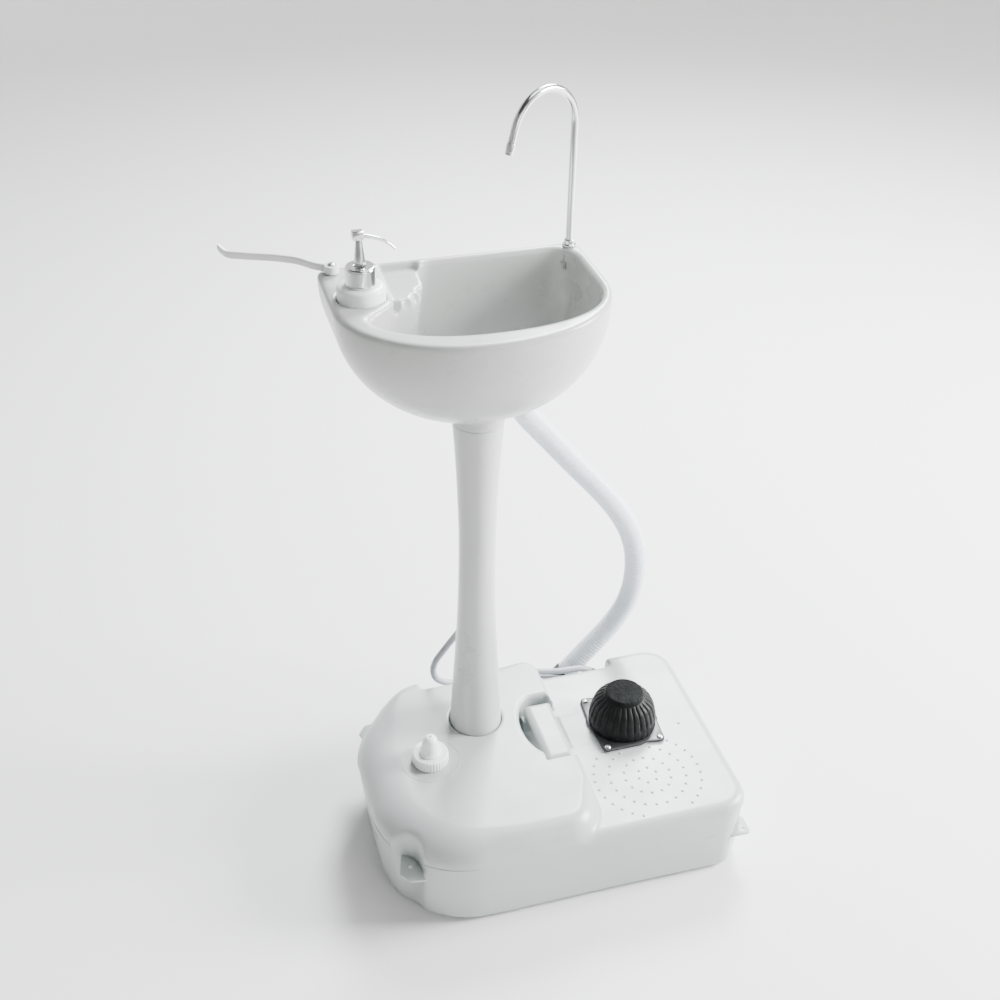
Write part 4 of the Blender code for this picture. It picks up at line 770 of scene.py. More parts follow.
tank = put("water_tank", joined("water_tank", [tank_mesh] + extras), SHELL, "root", ["tank_body"], 50)


# -------------------------------------------------------------- carry handle
def bar_field(x, y, z):
    d2 = box2(x, y, -0.0040, 0.0358, -0.0389, 0.0739, 0.0055)
    f = rounded_top(d2, z, 0.1500, 0.0085, 0.0085)
    f = np.maximum(f, rounded_top(d2, -z, -0.1268, 0.002, 0.002))
    under = np.maximum(np.abs(y - 0.0165) - 0.0455, z - 0.1345)
    return smax(f, -under, 0.004)


put("grip_bar", mesh_field("grip_bar", bar_field, (-0.004, -0.039, 0.1268), (0.036, 0.074, 0.150), 0.0015), SHELL, "root",
    ["carry_handle"], 60)

# ------------------------------------------------------------------- column
COLUMN = [(0.6560, 0.0330), (0.6200, 0.0306), (0.5700, 0.0276), (0.4900, 0.0250), (0.3660, 0.0261), (0.2630, 0.0308),
          (0.1700, 0.0362), (0.1320, 0.0373)]
zs = np.array([c[0] for c in COLUMN][::-1])
rs = np.array([c[1] for c in COLUMN][::-1])
zz = np.linspace(zs[0], zs[-1], 90)
coef = np.polyfit(zs, rs, 5)
fit = np.polyval(coef, zz)
lin = np.interp(zz, zs, rs)
rr = np.minimum(0.75 * fit + 0.25 * lin, 0.0373)
profile = [(0.030, 0.6560)] + [(float(r), float(z)) for r, z in zip(rr[::-1], zz[::-1])] + [(0.030, 0.1320)]
prof = [(0.0298, 0.6560)] + [(float(r), float(z)) for r, z in zip(rr[::-1], zz[::-1])] + [(0.0341, 0.1320)]
prof = prof + [(0.0341, 0.20), (0.0245, 0.35), (0.0222, 0.49), (0.0245, 0.57), (0.0298, 0.645)]


def column_shape(a, r, z, i):
    seam = 0.00035 * math.exp(-(((a - math.radians(262)) % (2 * math.pi) - 0) / 0.012) ** 2)
    return r - 0.00035 + 0.00018 * noise.noise(Vector((3 * math.cos(a), 3 * math.sin(a), z * 9))) + seam, z


lathe("waisted_column", prof, SHELL_COLUMN, "root", ["column"], (COL_X, COL_Y, 0), 128, r=0.0008, radius=column_shape)


# --------------------------------------------------------------------- bowl
def superellipse_plan(cx, a, mid_y, front_b, back_y, corner, power, n_front=90, n_corner=10):
    pts = []
    for i in range(n_front + 1):
        t = math.pi + math.pi * i / n_front
        c, s = math.cos(t), math.sin(t)
        pts.append((cx + a * math.copysign(abs(c) ** (2 / power), c),
                    mid_y + front_b * math.copysign(abs(s) ** (2 / power), s)))
    for x0, y0, a0 in ((cx + a - corner, back_y - corner, 0), (cx - a + corner, back_y - corner, 90)):
        for i in range(n_corner + 1):
            t = math.radians(a0 + 90 * i / n_corner)
            pts.append((x0 + corner * math.cos(t), y0 + corner * math.sin(t)))
    return np.array(pts)


def polar_table(outline, centre, n=1440):
    """Radius of an outline about a centre, as a table over angle."""
    d = outline - np.array(centre)
    th = np.linspace(-math.pi, math.pi, n, endpoint=False)
    out = np.zeros(n)
    a, b = d, np.roll(d, -1, axis=0)
    for i, t in enumerate(th):
        u = np.array([math.cos(t), math.sin(t)])
        e = b - a
        den = u[0] * e[:, 1] - u[1] * e[:, 0]
        den = np.where(np.abs(den) < 1e-12, 1e-12, den)
        s = (a[:, 0] * e[:, 1] - a[:, 1] * e[:, 0]) / den
        w = (a[:, 0] * u[1] - a[:, 1] * u[0]) / den
        ok = (s > 0) & (w >= -1e-9) & (w <= 1 + 1e-9)
        out[i] = s[ok].max() if ok.any() else 0
    k = np.ones(9) / 9
    out = np.convolve(np.concatenate([out[-4:], out, out[:4]]), k, "valid")
    return out


def gauge(table, dx, dy):
    n = len(table)
    t = (np.arctan2(dy, dx) + math.pi) / (2 * math.pi) * n
    i = np.floor(t).astype(int)
    f = t - i
    r = table[i % n] * (1 - f) + table[(i + 1) % n] * f
    return np.hypot(dx, dy) / r


BOWL_C = (COL_X, COL_Y)
OUT_TABLE = polar_table(superellipse_plan(-0.0790, 0.1683, 0.1000, 0.1350, 0.2070, 0.014, 2.12), BOWL_C)
BAS_C = (-0.0705, 0.0900)
IN_TABLE = polar_table(superellipse_plan(-0.0705, 0.1465, 0.0900, 0.0930, 0.1935, 0.034, 2.3), BAS_C)
BOWL_BOT, FLOOR_Z = 0.6690, 0.7000
ISLAND = np.array([(-0.262, 0.216), (-0.262, 0.070), (-0.218, 0.0690), (-0.208, 0.0712), (-0.1945, 0.0800), (-0.183, 0.0910),
                   (-0.1760, 0.1020), (-0.1670, 0.1100), (-0.1560, 0.1165), (-0.1450, 0.1225), (-0.1360, 0.1310),
                   (-0.1300, 0.1420), (-0.1270, 0.1560), (-0.1260, 0.1840), (-0.1100, 0.2160)])
SCALLOPS = ((-0.1690, 0.1120, 0.0085), (-0.1530, 0.1140, 0.0075), (-0.1385, 0.1245, 0.0080), (-0.1290, 0.1400, 0.0070))


def poly2(x, y, poly):
    """Signed distance to a polygon, negative inside."""
    best = np.full(x.shape, 1e9)
    inside = np.zeros(x.shape, bool)
    for (ax, ay), (bx, by) in zip(poly, np.roll(poly, -1, axis=0)):
        ex, ey = bx - ax, by - ay
        wx, wy = x - ax, y - ay
        t = np.clip((wx * ex + wy * ey) / (ex * ex + ey * ey), 0, 1)
        best = np.minimum(best, (wx - ex * t) ** 2 + (wy - ey * t) ** 2)
        cross = ((ay > y) != (by > y)) & (x < (bx - ax) * (y - ay) / (by - ay + 1e-15) + ax)
        inside ^= cross
    d = np.sqrt(best)
    return np.where(inside, -d, d)


def basin_scale(x, y):
    k = np.clip(gauge(IN_TABLE, x - BAS_C[0], y - BAS_C[1]), 0.0, 1.6)
    for _ in range(7):
        q = np.clip(1 - k, 0, 1)
        cx = BAS_C[0] + (DRAIN_X - BAS_C[0]) * q ** 0.9
        cy = BAS_C[1] + (DRAIN_Y - BAS_C[1]) * q
        k = 0.4 * k + 0.6 * np.clip(gauge(IN_TABLE, x - cx, y - cy), 0.0, 1.6)
    return k


SOAP_X, SOAP_Y, SOAP_R = -0.2080, 0.1190, 0.0287


def bowl_field(x, y, z):
    s = gauge(OUT_TABLE, x - BOWL_C[0], y - BOWL_C[1])
    t = np.clip((0.8084 - z) / (0.8084 - BOWL_BOT), 0, 2)
    m = 2.25
    outer = ((s ** m + t ** m + 1e-12) ** (1 / m) - 1) * 0.130
    body = smax(outer, z - RIM_Z, 0.0070)
    rc = np.hypot(x - COL_X, y - COL_Y)
    body = smin(body, np.maximum(rc - 0.0335, np.maximum(0.6563 - z, z - 0.70)), 0.007)
    rd = np.hypot(x - DRAIN_X, y - DRAIN_Y)
    body = smin(body, np.maximum(rd - 0.0290, np.maximum(BOWL_BOT - 0.0010 - z, z - 0.715)), 0.005)
    k = basin_scale(x, y)
    tb = np.clip((RIM_Z - z) / (RIM_Z - FLOOR_Z), 0, 2)
    void = ((k ** 2.5 + tb ** 2.5 + 1e-12) ** (1 / 2.5) - 1) * 0.105
    void = np.where(z > RIM_Z, (k - 1) * 0.105, void)
    island = poly2(x, y, ISLAND)
    drop = np.clip((RIM_Z - z) / 0.10, 0, 1)
    island = island + 0.012 * drop - 0.003 * (1 - drop)
    for sx_, sy_, sr_ in SCALLOPS:
        bite = np.hypot(x - sx_, y - sy_) - sr_ - 0.10 * (z - (RIM_Z - 0.012))
        island = smax(island, -smax(bite, (RIM_Z - 0.024) - z, 0.010), 0.004)
    void = smax(void, -island, 0.014)
    # sloping tray of the soap bar
    tray = box2(x, y, -0.1725, -0.1240, 0.1180, 0.1960, 0.006)
    floor = RIM_Z - 0.0095 + 0.05 * (y - 0.16)
    void = smin(void, smax(tray, floor - z, 0.004), 0.004)
    body = smax(body, -void, 0.0075)
    # collar round the soap pocket, and the pocket
    rs = np.hypot(x - SOAP_X, y - SOAP_Y)
    body = smax(body, -np.maximum(np.abs(rs - 0.0345) - 0.0007, RIM_Z - 0.0006 - z), 0.0008)
    body = smax(body, -np.maximum(rs - SOAP_R - 0.0011, 0.7480 - z), 0.0030)
    body = smax(body, -np.maximum(rd - 0.0255, FLOOR_Z - 0.0012 - z), 0.0030)
    body = np.maximum(body, -(rd - 0.0187))
    rf = np.hypot(x - FAUCET_X, y - FAUCET_Y)
    body = np.maximum(body, -(rf - 0.0053))
    body = np.maximum(body, -np.maximum(rf - 0.0125, z - (RIM_Z - 0.0080)))
    return body


put("wash_bowl", mesh_field("wash_bowl", bowl_field, (-0.2480, -0.0360, 0.6550), (0.0900, 0.2080, RIM_Z), 0.0025, 4), SHELL_BOWL,
    "root", ["bowl"], 55)

# ------------------------------------------------------------ drain fittings
strainer = from_bm("strainer", lathe_bm(fillet([(0.0, FLOOR_Z - 0.0002), (0.0110, FLOOR_Z - 0.0001), (0.0150, FLOOR_Z + 0.0008),
                                                (0.0232, FLOOR_Z + 0.0012), (0.0238, FLOOR_Z - 0.0007), (0.0182, FLOOR_Z - 0.0007),
                                                (0.0182, 0.6570), (0.0134, 0.6555), (0.0134, 0.6402), (0.0112, 0.6402),
                                                (0.0112, FLOOR_Z - 0.0045), (0.0, FLOOR_Z - 0.0045)], 0.0005, 3, False), 72, False,
                                        at=(DRAIN_X, DRAIN_Y, 0)))
slots = bmesh.new()
slots.from_mesh(strainer)
holes = [(DRAIN_X, DRAIN_Y)] + [(DRAIN_X + r * math.cos(2 * math.pi * (i + 0.5 * (r > 0.006)) / n),
                                 DRAIN_Y + r * math.sin(2 * math.pi * (i + 0.5 * (r > 0.006)) / n))
                                for r, n in ((0.0042, 6), (0.0082, 12)) for i in range(n)]
bpy.data.meshes.remove(strainer)
put("basin_strainer", holed(slots, holes, 0.0012, FLOOR_Z - 0.0100, FLOOR_Z + 0.0010), CHROME, "root", ["drain_strainer"], 30)
DR = (DRAIN_X, DRAIN_Y, 0)
lathe("drain_seal", [(0.0270, 0.6677), (0.0270, 0.6652), (0.0188, 0.6652), (0.0188, 0.6677)], SEAL, "root", ["drain_gasket"], DR,
      64, r=0.0006)


def knurled(count, depth, low, high):
    def shape(a, r, z, i):
        if r < low:
            return r, z
        w = abs(math.cos(count * a / 2)) ** 0.8
        return r - depth * (1 - w) * min(1.0, (r - low) / (high - low)), z
    return shape


lathe("drain_ring_nut", [(0.0265, 0.6649), (0.0265, 0.6575), (0.0188, 0.6575), (0.0188, 0.6649)], WHITE, "root",
      ["drain_locknut"], DR, 192, r=0.0010, radius=knurled(16, 0.0016, 0.0215, 0.0255))


def clamp(name, node_name, at, turn, z0, z1):
    """Ribbed cuff that grips the hose's end."""
    prof = [(0.0138, z0), (0.0172, z0), (0.0180, z0 + 0.0012)]
    n = 4
    for i in range(n):
        a = z0 + 0.0012 + (z1 - z0 - 0.0030) * i / n
        b = z0 + 0.0012 + (z1 - z0 - 0.0030) * (i + 1) / n
        prof += [(0.0180, a + (b - a) * 0.30), (0.0172, a + (b - a) * 0.42), (0.0172, a + (b - a) * 0.80), (0.0180, b)]
    prof += [(0.0166, z1), (0.0138, z1)]
    lathe(name, prof, BLACK, "root", [node_name], at, 72, r=0.0004, turn=turn)


clamp("upper_hose_cuff", "drain_hose_cuff_top", DR, None, 0.6405, 0.6548)
aim = Vector((0, 0, 1)).rotation_difference(MOUTH_DIR)
clamp("lower_hose_cuff", "drain_hose_cuff_bottom", tuple(MOUTH), aim, 0.0020, 0.0180)
REC_Y = 0.1470
elbow_pts = spline_through([(0.0645, REC_Y + 0.0012, 0.0440), (0.0645, REC_Y + 0.0160, 0.0440), (0.0670, 0.1810, 0.0455),
                            (0.0780, 0.1935, 0.0540), tuple(MOUTH - MOUTH_DIR * 0.006), tuple(MOUTH + MOUTH_DIR * 0.0160)], 40)
el = from_bm("elbow", sweep(elbow_pts, [0.0131] * 40, 32))
col = from_bm("elbow_collar", sweep(spline_through([tuple(MOUTH - MOUTH_DIR * 0.0040), tuple(MOUTH + MOUTH_DIR * 0.0004),
                                                    tuple(MOUTH + MOUTH_DIR * 0.0012)], 6), [0.0146, 0.0149, 0.0150, 0.0150, 0.0149, 0.0144], 32))
fl = plate([(0.0492, 0.0230), (0.0798, 0.0230), (0.0798, 0.0650), (0.0492, 0.0650)], 0, 0.0037, 0.0012)
bmesh.ops.rotate(fl, verts=fl.verts, matrix=Matrix.Rotation(math.radians(90), 3, "X"))
bmesh.ops.translate(fl, verts=fl.verts, vec=(0, REC_Y + 0.0040, 0))
bolt = []
for bx, bz in ((0.0525, 0.0265), (0.0765, 0.0265), (0.0525, 0.0615), (0.0765, 0.0615)):
    turn_y = Vector((0, 0, 1)).rotation_difference(Vector((0, 1, 0)))
    bolt.append(from_bm("bolt", lathe_bm(fillet([(0, 0.0020), (0.0012, 0.0019), (0.0025, 0.0012), (0.0027, 0.0), (0, 0)], 0.0003, 2, False),
                                         20, False, turn_y, (bx, REC_Y + 0.0038, bz))))
put("hose_parking_elbow", joined("hose_parking_elbow", [el, col, from_bm("flange", fl)]), BLACK, "root", ["hose_park_elbow"], 35)
put("parking_elbow_screws", joined("parking_elbow_screws", bolt), STEEL, "root", (), 35)

# ------------------------------------------------------------ pipe elbows
for name, node_name, px, d in (("pump_inlet_pipe", "pump_inlet_elbow", PUMP_X - 0.0130, in_dir),
                               ("pump_outlet_pipe", "pump_outlet_elbow", PUMP_X + 0.0130, out_dir)):
    corner = Vector((px, 0.1580 if "inlet" in name else 0.1640, LINE_Z))
    run = [(px, PUMP_Y + 0.0226, LINE_Z), (px, 0.1000, LINE_Z), (px, corner.y - 0.0060, LINE_Z),
           tuple(corner - Vector((0, 1, 0)) * 0.0022 + d * 0.0022), tuple(corner + d * 0.0065), tuple(corner + d * 0.0130)]
    pts = spline_through(run, 48)
    put(name, from_bm(name, sweep(pts, [0.00455 + (0.0004 if i in (46, 45, 42, 41) else 0) for i in range(48)], 24)), BLACK, "root",
        [node_name], 35)
run = [(-0.1120, 0.1330, LINE_Z), (-0.1120, 0.1520, LINE_Z), tuple(out_corner + Vector((0.0022, -0.0022, 0))),
       tuple(out_corner + Vector((0.0065, 0, 0))), tuple(out_corner + Vector((0.0140, 0, 0)))]
put("tank_outlet_pipe", from_bm("tank_outlet_pipe", sweep(spline_through(run, 40), [0.00455] * 40, 24)), BLACK, "root",
    ["tank_outlet_elbow"], 35)

# ------------------------------------------------------------------- faucet
F_ANGLE = math.radians(208.0)
ux, uy = math.cos(F_ANGLE), math.sin(F_ANGLE)
TUBE_R, ARC_A, ARC_B = 0.00475, 0.0525, 0.0520
ARC_Z = 1.0300 - TUBE_R - ARC_B


def spout_point(s, z):
    return Vector((FAUCET_X + ux * s, FAUCET_Y + uy * s, z))


path = [spout_point(0, z) for z in np.linspace(RIM_Z + 0.0020, ARC_Z, 12)]
END = math.radians(165)
for i in range(1, 49):
    t = END * i / 48
    path.append(spout_point(ARC_A * (1 - math.cos(t)), ARC_Z + (ARC_B - 0.0008) * math.sin(t)))
last_s, last_z = ARC_A * (1 - math.cos(END)), ARC_Z + ARC_B * math.sin(END)
down = (math.sin(math.radians(17)), -math.cos(math.radians(17)))
path.append(spout_point(last_s + down[0] * 0.0135, last_z + down[1] * 0.0135))
put("gooseneck_spout", from_bm("gooseneck_spout", sweep(path, [TUBE_R] * len(path), 40, 0.0036)), STAINLESS, "faucet",
    ["faucet_spout"], 60)
tip_at = spout_point(last_s + down[0] * 0.0138, last_z + down[1] * 0.0138)
tip_turn = Vector((0, 0, 1)).rotation_difference(Vector((ux * down[0], uy * down[0], down[1])))
lathe("spout_tip", [(0.0030, 0.0), (0.0052, 0.0), (0.0056, 0.0010), (0.0055, 0.0100), (0.0052, 0.0108), (0.0052, 0.0118),
                    (0.0054, 0.0124), (0.0052, 0.0140), (0.0038, 0.0140), (0.0036, 0.0100), (0.0030, 0.0100)],
      STAINLESS, "faucet", ["faucet_nozzle"], tuple(tip_at), 48, r=0.0004, turn=tip_turn)
FA = (FAUCET_X, FAUCET_Y, 0)


def hexed(count, depth, top):
    """Flats on the lower part of a nut."""
    def shape(a, r, z, i):
        if z > top or r < 0.0066:
            return r, z
        w = (a * count / (2 * math.pi)) % 1.0 - 0.5
        flat = math.cos(math.pi / count) / math.cos(w * 2 * math.pi / count)
        return r * flat, z
    return shape


lathe("spout_nut", [(0.0053, RIM_Z + 0.0090), (0.0060, RIM_Z + 0.0088), (0.0064, RIM_Z + 0.0078), (0.0068, RIM_Z + 0.0036),
                    (0.0085, RIM_Z + 0.0026), (0.0085, RIM_Z + 0.0004), (0.0053, RIM_Z + 0.0004)], CHROME, "root",
      ["faucet_base_nut"], FA, 72, r=0.0005)
lathe("spout_shank", [(0.0045, RIM_Z + 0.0017), (0.0047, RIM_Z + 0.0012), (0.0047, RIM_Z - 0.0280), (0.0034, RIM_Z - 0.0290)]
      + [q for k in range(6) for q in ((0.0034, RIM_Z - 0.0300 - 0.0030 * k), (0.0030, RIM_Z - 0.0320 - 0.0030 * k))]
      + [(0.0034, RIM_Z - 0.0500), (0.0020, RIM_Z - 0.0500), (0.0020, RIM_Z + 0.0017)], STEEL, "root", ["faucet_shank"], FA,
      40, r=0.0003)
lathe("spout_seal", [(0.0100, RIM_Z - 0.0083), (0.0100, RIM_Z - 0.0103), (0.0051, RIM_Z - 0.0103), (0.0051, RIM_Z - 0.0083)],
      SEAL, "root", ["faucet_gasket"], FA, 40)
lathe("spout_locknut", [(0.0088, RIM_Z - 0.0106), (0.0095, RIM_Z - 0.0112), (0.0095, RIM_Z - 0.0154), (0.0088, RIM_Z - 0.0160),
                        (0.0050, RIM_Z - 0.0160), (0.0050, RIM_Z - 0.0106)], STEEL, "root", ["faucet_locknut"], FA, 72,
      r=0.0004, radius=hexed(6, 0, 1.0), angle=30)

# ---------------------------------------------------------------- towel arm
PIVOT_X, PIVOT_Y, ARM_Z0, ARM_Z1 = -0.2300, 0.1890, 0.8155, 0.8255
ARM = [(PIVOT_X - 0.0040, PIVOT_Y + 0.0030, 0.0), (-0.2490, 0.2030, 0.0), (-0.2660, 0.2220, 0.0),
       (-0.2900, 0.2365, 0.0), (-0.3290, 0.2530, 0.0), (-0.3455, 0.2620, 0.0), (-0.3510, 0.2650, 0.0035),
       (-0.3558, 0.2677, 0.0086)]
line = spline_through(ARM, 60)
bm = bmesh.new()
rings = []
SECT = 20
for i, q in enumerate(line):
    t = (line[min(i + 1, 59)] - line[max(i - 1, 0)])
    t = Vector((t.x, t.y, 0)).normalized()
    nrm = Vector((-t.y, t.x, 0))
    half, high = 0.0026, (ARM_Z1 - ARM_Z0) / 2 - 0.0002
    if i >= 57:
        half *= (1.0, 0.86, 0.55)[i - 57]
        high *= (1.0, 0.94, 0.74)[i - 57]
    zc = (ARM_Z0 + ARM_Z1) / 2 + q.z
    ring = []
    for k in range(SECT):
        a = 2 * math.pi * (k + 0.5) / SECT
        cx, cz = math.cos(a), math.sin(a)
        px = math.copysign(abs(cx) ** 0.55, cx) * half
        pz = math.copysign(abs(cz) ** 0.38, cz) * high
        ring.append(bm.verts.new(Vector((q.x, q.y, zc)) + nrm * px + Vector((0, 0, pz))))
    rings.append(ring)
for a, b in zip(rings, rings[1:]):
    for k in range(SECT):
        bm.faces.new((a[k], a[(k + 1) % SECT], b[(k + 1) % SECT], b[k]))
bm.faces.new(list(reversed(rings[0])))
bm.faces.new(rings[-1])
strap = from_bm("strap", bm)
eye_ring = from_bm("eye", lathe_bm(fillet([(0.0048, ARM_Z0), (0.0084, ARM_Z0), (0.0088, ARM_Z0 + 0.0006), (0.0088, ARM_Z1 - 0.0006),
                                           (0.0082, ARM_Z1), (0.0048, ARM_Z1)], 0.0007, 3), 64, True, at=(PIVOT_X, PIVOT_Y, 0)))
put("towel_rail", joined("towel_rail", [strap, eye_ring]), ARM_WHITE, "towel_arm", ["towel_arm"], 60)
PV = (PIVOT_X, PIVOT_Y, 0)
lathe("rail_bush", [(0.0044, ARM_Z1 + 0.0004), (0.0044, ARM_Z0 - 0.0008), (0.0024, ARM_Z0 - 0.0008), (0.0024, ARM_Z1 + 0.0004)],
      STEEL, "root", ["towel_pivot_bush"], PV, 40, r=0.0003)


def cross_screw(name, at, head_r, z0, z1, mat, nodes, shaft_r, shaft_z):
    """Pan head with a cross recess, on its shank."""
    prof = fillet([(0.0, z1), (head_r * 0.55, z1 - (z1 - z0) * 0.08), (head_r, z0 + (z1 - z0) * 0.30), (head_r, z0),
                   (shaft_r, z0), (shaft_r, shaft_z + 0.001), (0.0, shaft_z)], 0.0004, 3, False)
    base = bpy.data.objects.new(name + "_b", from_bm(name, lathe_bm(prof, 40, False, at=at)))
    COLL.objects.link(base)
    cb = bmesh.new()
    for turn_z in (0.0, 90.0):
        box = bmesh.ops.create_cube(cb, size=1.0)["verts"]
        bmesh.ops.scale(cb, verts=box, vec=(head_r * 1.15, head_r * 0.24, (z1 - z0) * 1.2))
        bmesh.ops.rotate(cb, verts=box, matrix=Matrix.Rotation(math.radians(turn_z + 25), 3, "Z"))
        bmesh.ops.translate(cb, verts=box, vec=(at[0], at[1], z1 + (z1 - z0) * 0.05))
    cut = bpy.data.objects.new("cut", from_bm("cut", cb))
    COLL.objects.link(cut)
    mod = base.modifiers.new("cross", "BOOLEAN")
    mod.operation, mod.object, mod.solver, mod.use_self = "DIFFERENCE", cut, "EXACT", True
    bpy.context.view_layer.update()
    mesh = bpy.data.meshes.new_from_object(base.evaluated_get(bpy.context.evaluated_depsgraph_get()))
    bpy.data.objects.remove(base, do_unlink=True)
    bpy.data.objects.remove(cut, do_unlink=True)
    mesh.name = name
    return put(name, mesh, mat, "root", nodes, 30)


cross_screw("rail_screw", PV, 0.0046, ARM_Z1 + 0.0007, ARM_Z1 + 0.0027, STEEL, ["towel_pivot_screw"], 0.0019, RIM_Z - 0.0190)

# ------------------------------------------------------------ soap dispenser
SO = (SOAP_X, SOAP_Y, 0)
SZ = 0.7483
lathe("soap_flask", [(0.0, SZ + 0.0022), (0.0265, SZ + 0.0030), (0.0267, 0.8240), (0.0225, 0.8272), (0.0150, 0.8280),
                     (0.0150, 0.8306), (0.0215, 0.8306), (0.0262, 0.8296), (0.0284, 0.8272), (0.0287, 0.8245),
                     (0.0287, SZ + 0.0020), (0.0267, SZ), (0.0, SZ)], WHITE, "soap_dispenser", ["soap_bottle"], SO, 96,
      closed=False, r=0.0016)
lathe("soap_collar", [(0.0072, 0.8540), (0.0160, 0.8540), (0.0172, 0.8532), (0.0180, 0.8512), (0.0180, 0.8340), (0.0183, 0.8330),
                      (0.0183, 0.8309), (0.0110, 0.8309), (0.0110, 0.8500), (0.0072, 0.8500)], CHROME, "soap_dispenser",
      ["soap_closure"], SO, 144, r=0.0007)
lathe("soap_barrel", [(0.0068, 0.8488), (0.0105, 0.8488), (0.0105, 0.8300), (0.0060, 0.8290), (0.0060, 0.7960), (0.0030, 0.7930),
                      (0.0015, 0.7930), (0.0015, 0.7960), (0.0048, 0.7980), (0.0048, 0.8440), (0.0068, 0.8450)], WHITE,
      "soap_dispenser", ["soap_cylinder"], SO, 48, r=0.0004)
lathe("soap_suction_tube", [(0.0026, 0.7927), (0.0026, SZ + 0.0060), (0.0014, SZ + 0.0060), (0.0014, 0.7927)], WHITE,
      "soap_dispenser", ["soap_dip_tube"], SO, 24, r=0.0003)
coil = [(SOAP_X + 0.0038 * math.cos(a), SOAP_Y + 0.0038 * math.sin(a), 0.8006 + 0.0248 * i / 160)
        for i, a in enumerate(np.linspace(0, 2 * math.pi * 9, 161))]
soap_coil = put("soap_pump_spring", from_bm("soap_pump_spring", sweep(coil, [0.0005] * 161, 8)), STEEL, None, ["soap_spring"], 60)
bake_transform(soap_coil)
lathe("soap_plunger", [(0.0020, 0.8867), (0.0040, 0.8867), (0.0043, 0.8830), (0.0048, 0.8770), (0.0058, 0.8690), (0.0064, 0.8620),
                       (0.0066, 0.8548), (0.0040, 0.8548), (0.0040, 0.8264), (0.0020, 0.8264)], CHROME, "soap_stem",
      ["soap_stem"], SO, 56, r=0.0005)
hb = plate([(-0.0080, -0.0055), (0.0052, -0.0055), (0.0052, 0.0055), (-0.0080, 0.0055)], 0.8870, 0.8970, 0.0011)
bmesh.ops.translate(hb, verts=hb.verts, vec=(SOAP_X, SOAP_Y, 0))
beak = spline_through([(SOAP_X + 0.002, SOAP_Y, 0.8902), (SOAP_X + 0.0090, SOAP_Y, 0.8892), (SOAP_X + 0.0246, SOAP_Y, 0.8838),
                       (SOAP_X + 0.0345, SOAP_Y, 0.8775), (SOAP_X + 0.0418, SOAP_Y, 0.8704)], 40)
bk = from_bm("beak", sweep(beak, [0.00255 - 0.0006 * i / 39 for i in range(40)], 24, 0.0011))
put("soap_pump_head", joined("soap_pump_head", [from_bm("hb", hb), bk]), CHROME, "soap_head", ["soap_head"], 35)

# ---------------------------------------------------------------- filler cap
CA = (CAP_X, CAP_Y, 0)
lathe("filler_seal", [(0.0192, BZ + 0.0128), (0.0192, BZ + 0.0108), (0.0162, BZ + 0.0108), (0.0162, BZ + 0.0128)], SEAL, "root",
      ["filler_gasket"], CA, 48, r=0.0004)
lathe("filler_ring", [(0.0165, BZ + 0.0160), (0.0232, BZ + 0.0160), (0.0246, BZ + 0.0152), (0.0252, BZ + 0.0138), (0.0255, BZ + 0.0120),
                      (0.0255, BZ + 0.0030), (0.0250, BZ + 0.0008), (0.0200, BZ + 0.0008), (0.0200, BZ + 0.0131),
                      (0.0060, BZ + 0.0131), (0.0060, BZ + 0.0160)], WHITE, "filler_cap", ["filler_cap"], CA, 288,
      r=0.0006, radius=knurled(36, 0.0011, 0.0240, 0.0250))
lathe("filler_bullet", [(0.0020, BZ + 0.0460), (0.0040, BZ + 0.0458), (0.0063, BZ + 0.0448), (0.0084, BZ + 0.0428), (0.0098, BZ + 0.0400),
                        (0.0108, BZ + 0.0360), (0.0116, BZ + 0.0318), (0.0124, BZ + 0.0262), (0.0131, BZ + 0.0226), (0.0140, BZ + 0.0207),
                        (0.0152, BZ + 0.0194), (0.0155, BZ + 0.0163), (0.0057, BZ + 0.0163), (0.0057, BZ + 0.0300),
                        (0.0020, BZ + 0.0330)], WHITE, "filler_nozzle", ["filler_nozzle"], CA, 72, r=0.0006)

# ------------------------------------------------------------------ foot pump
FZ = DZ + 0.0003


def flange_plan(grow=0.0, dense=6):
    pts = []
    for sx, sy in ((1, -1), (1, 1), (-1, 1), (-1, -1)):
        cx, cy = sx * 0.0400, sy * 0.0490
        a = math.degrees(math.atan2(cy, cx))
        for i in range(dense + 1):
            t = math.radians(a - 60 + 120 * i / dense)
            pts.append((PUMP_X + cx + (0.0070 + grow) * math.cos(t), PUMP_Y + cy + (0.0070 + grow) * math.sin(t)))
        if sx * sy > 0:
            b = math.radians(a + 51)
        else:
            b = math.radians(a + 39)
        for d in (-0.14, 0.0, 0.14):
            k = 1.0 if d == 0 else 0.985
            pts.append((PUMP_X + k * (0.0530 + grow) * math.cos(b + d), PUMP_Y + k * (0.0565 + grow) * math.sin(b + d)))
    return pts


SCREWS = [(PUMP_X + sx * 0.0400, PUMP_Y + sy * 0.0490) for sx, sy in ((-1, 1), (-1, -1), (1, -1), (1, 1))]


def ring_plate(name, plan, bore_r, z0, z1, bevel):
    mesh = holed(plate(plan, z0, z1, bevel), [(PUMP_X, PUMP_Y)], bore_r, z0, z1)
    bm = bmesh.new()
    bm.from_mesh(mesh)
    bpy.data.meshes.remove(mesh)
    return holed(bm, SCREWS, 0.0022, z0, z1, name)


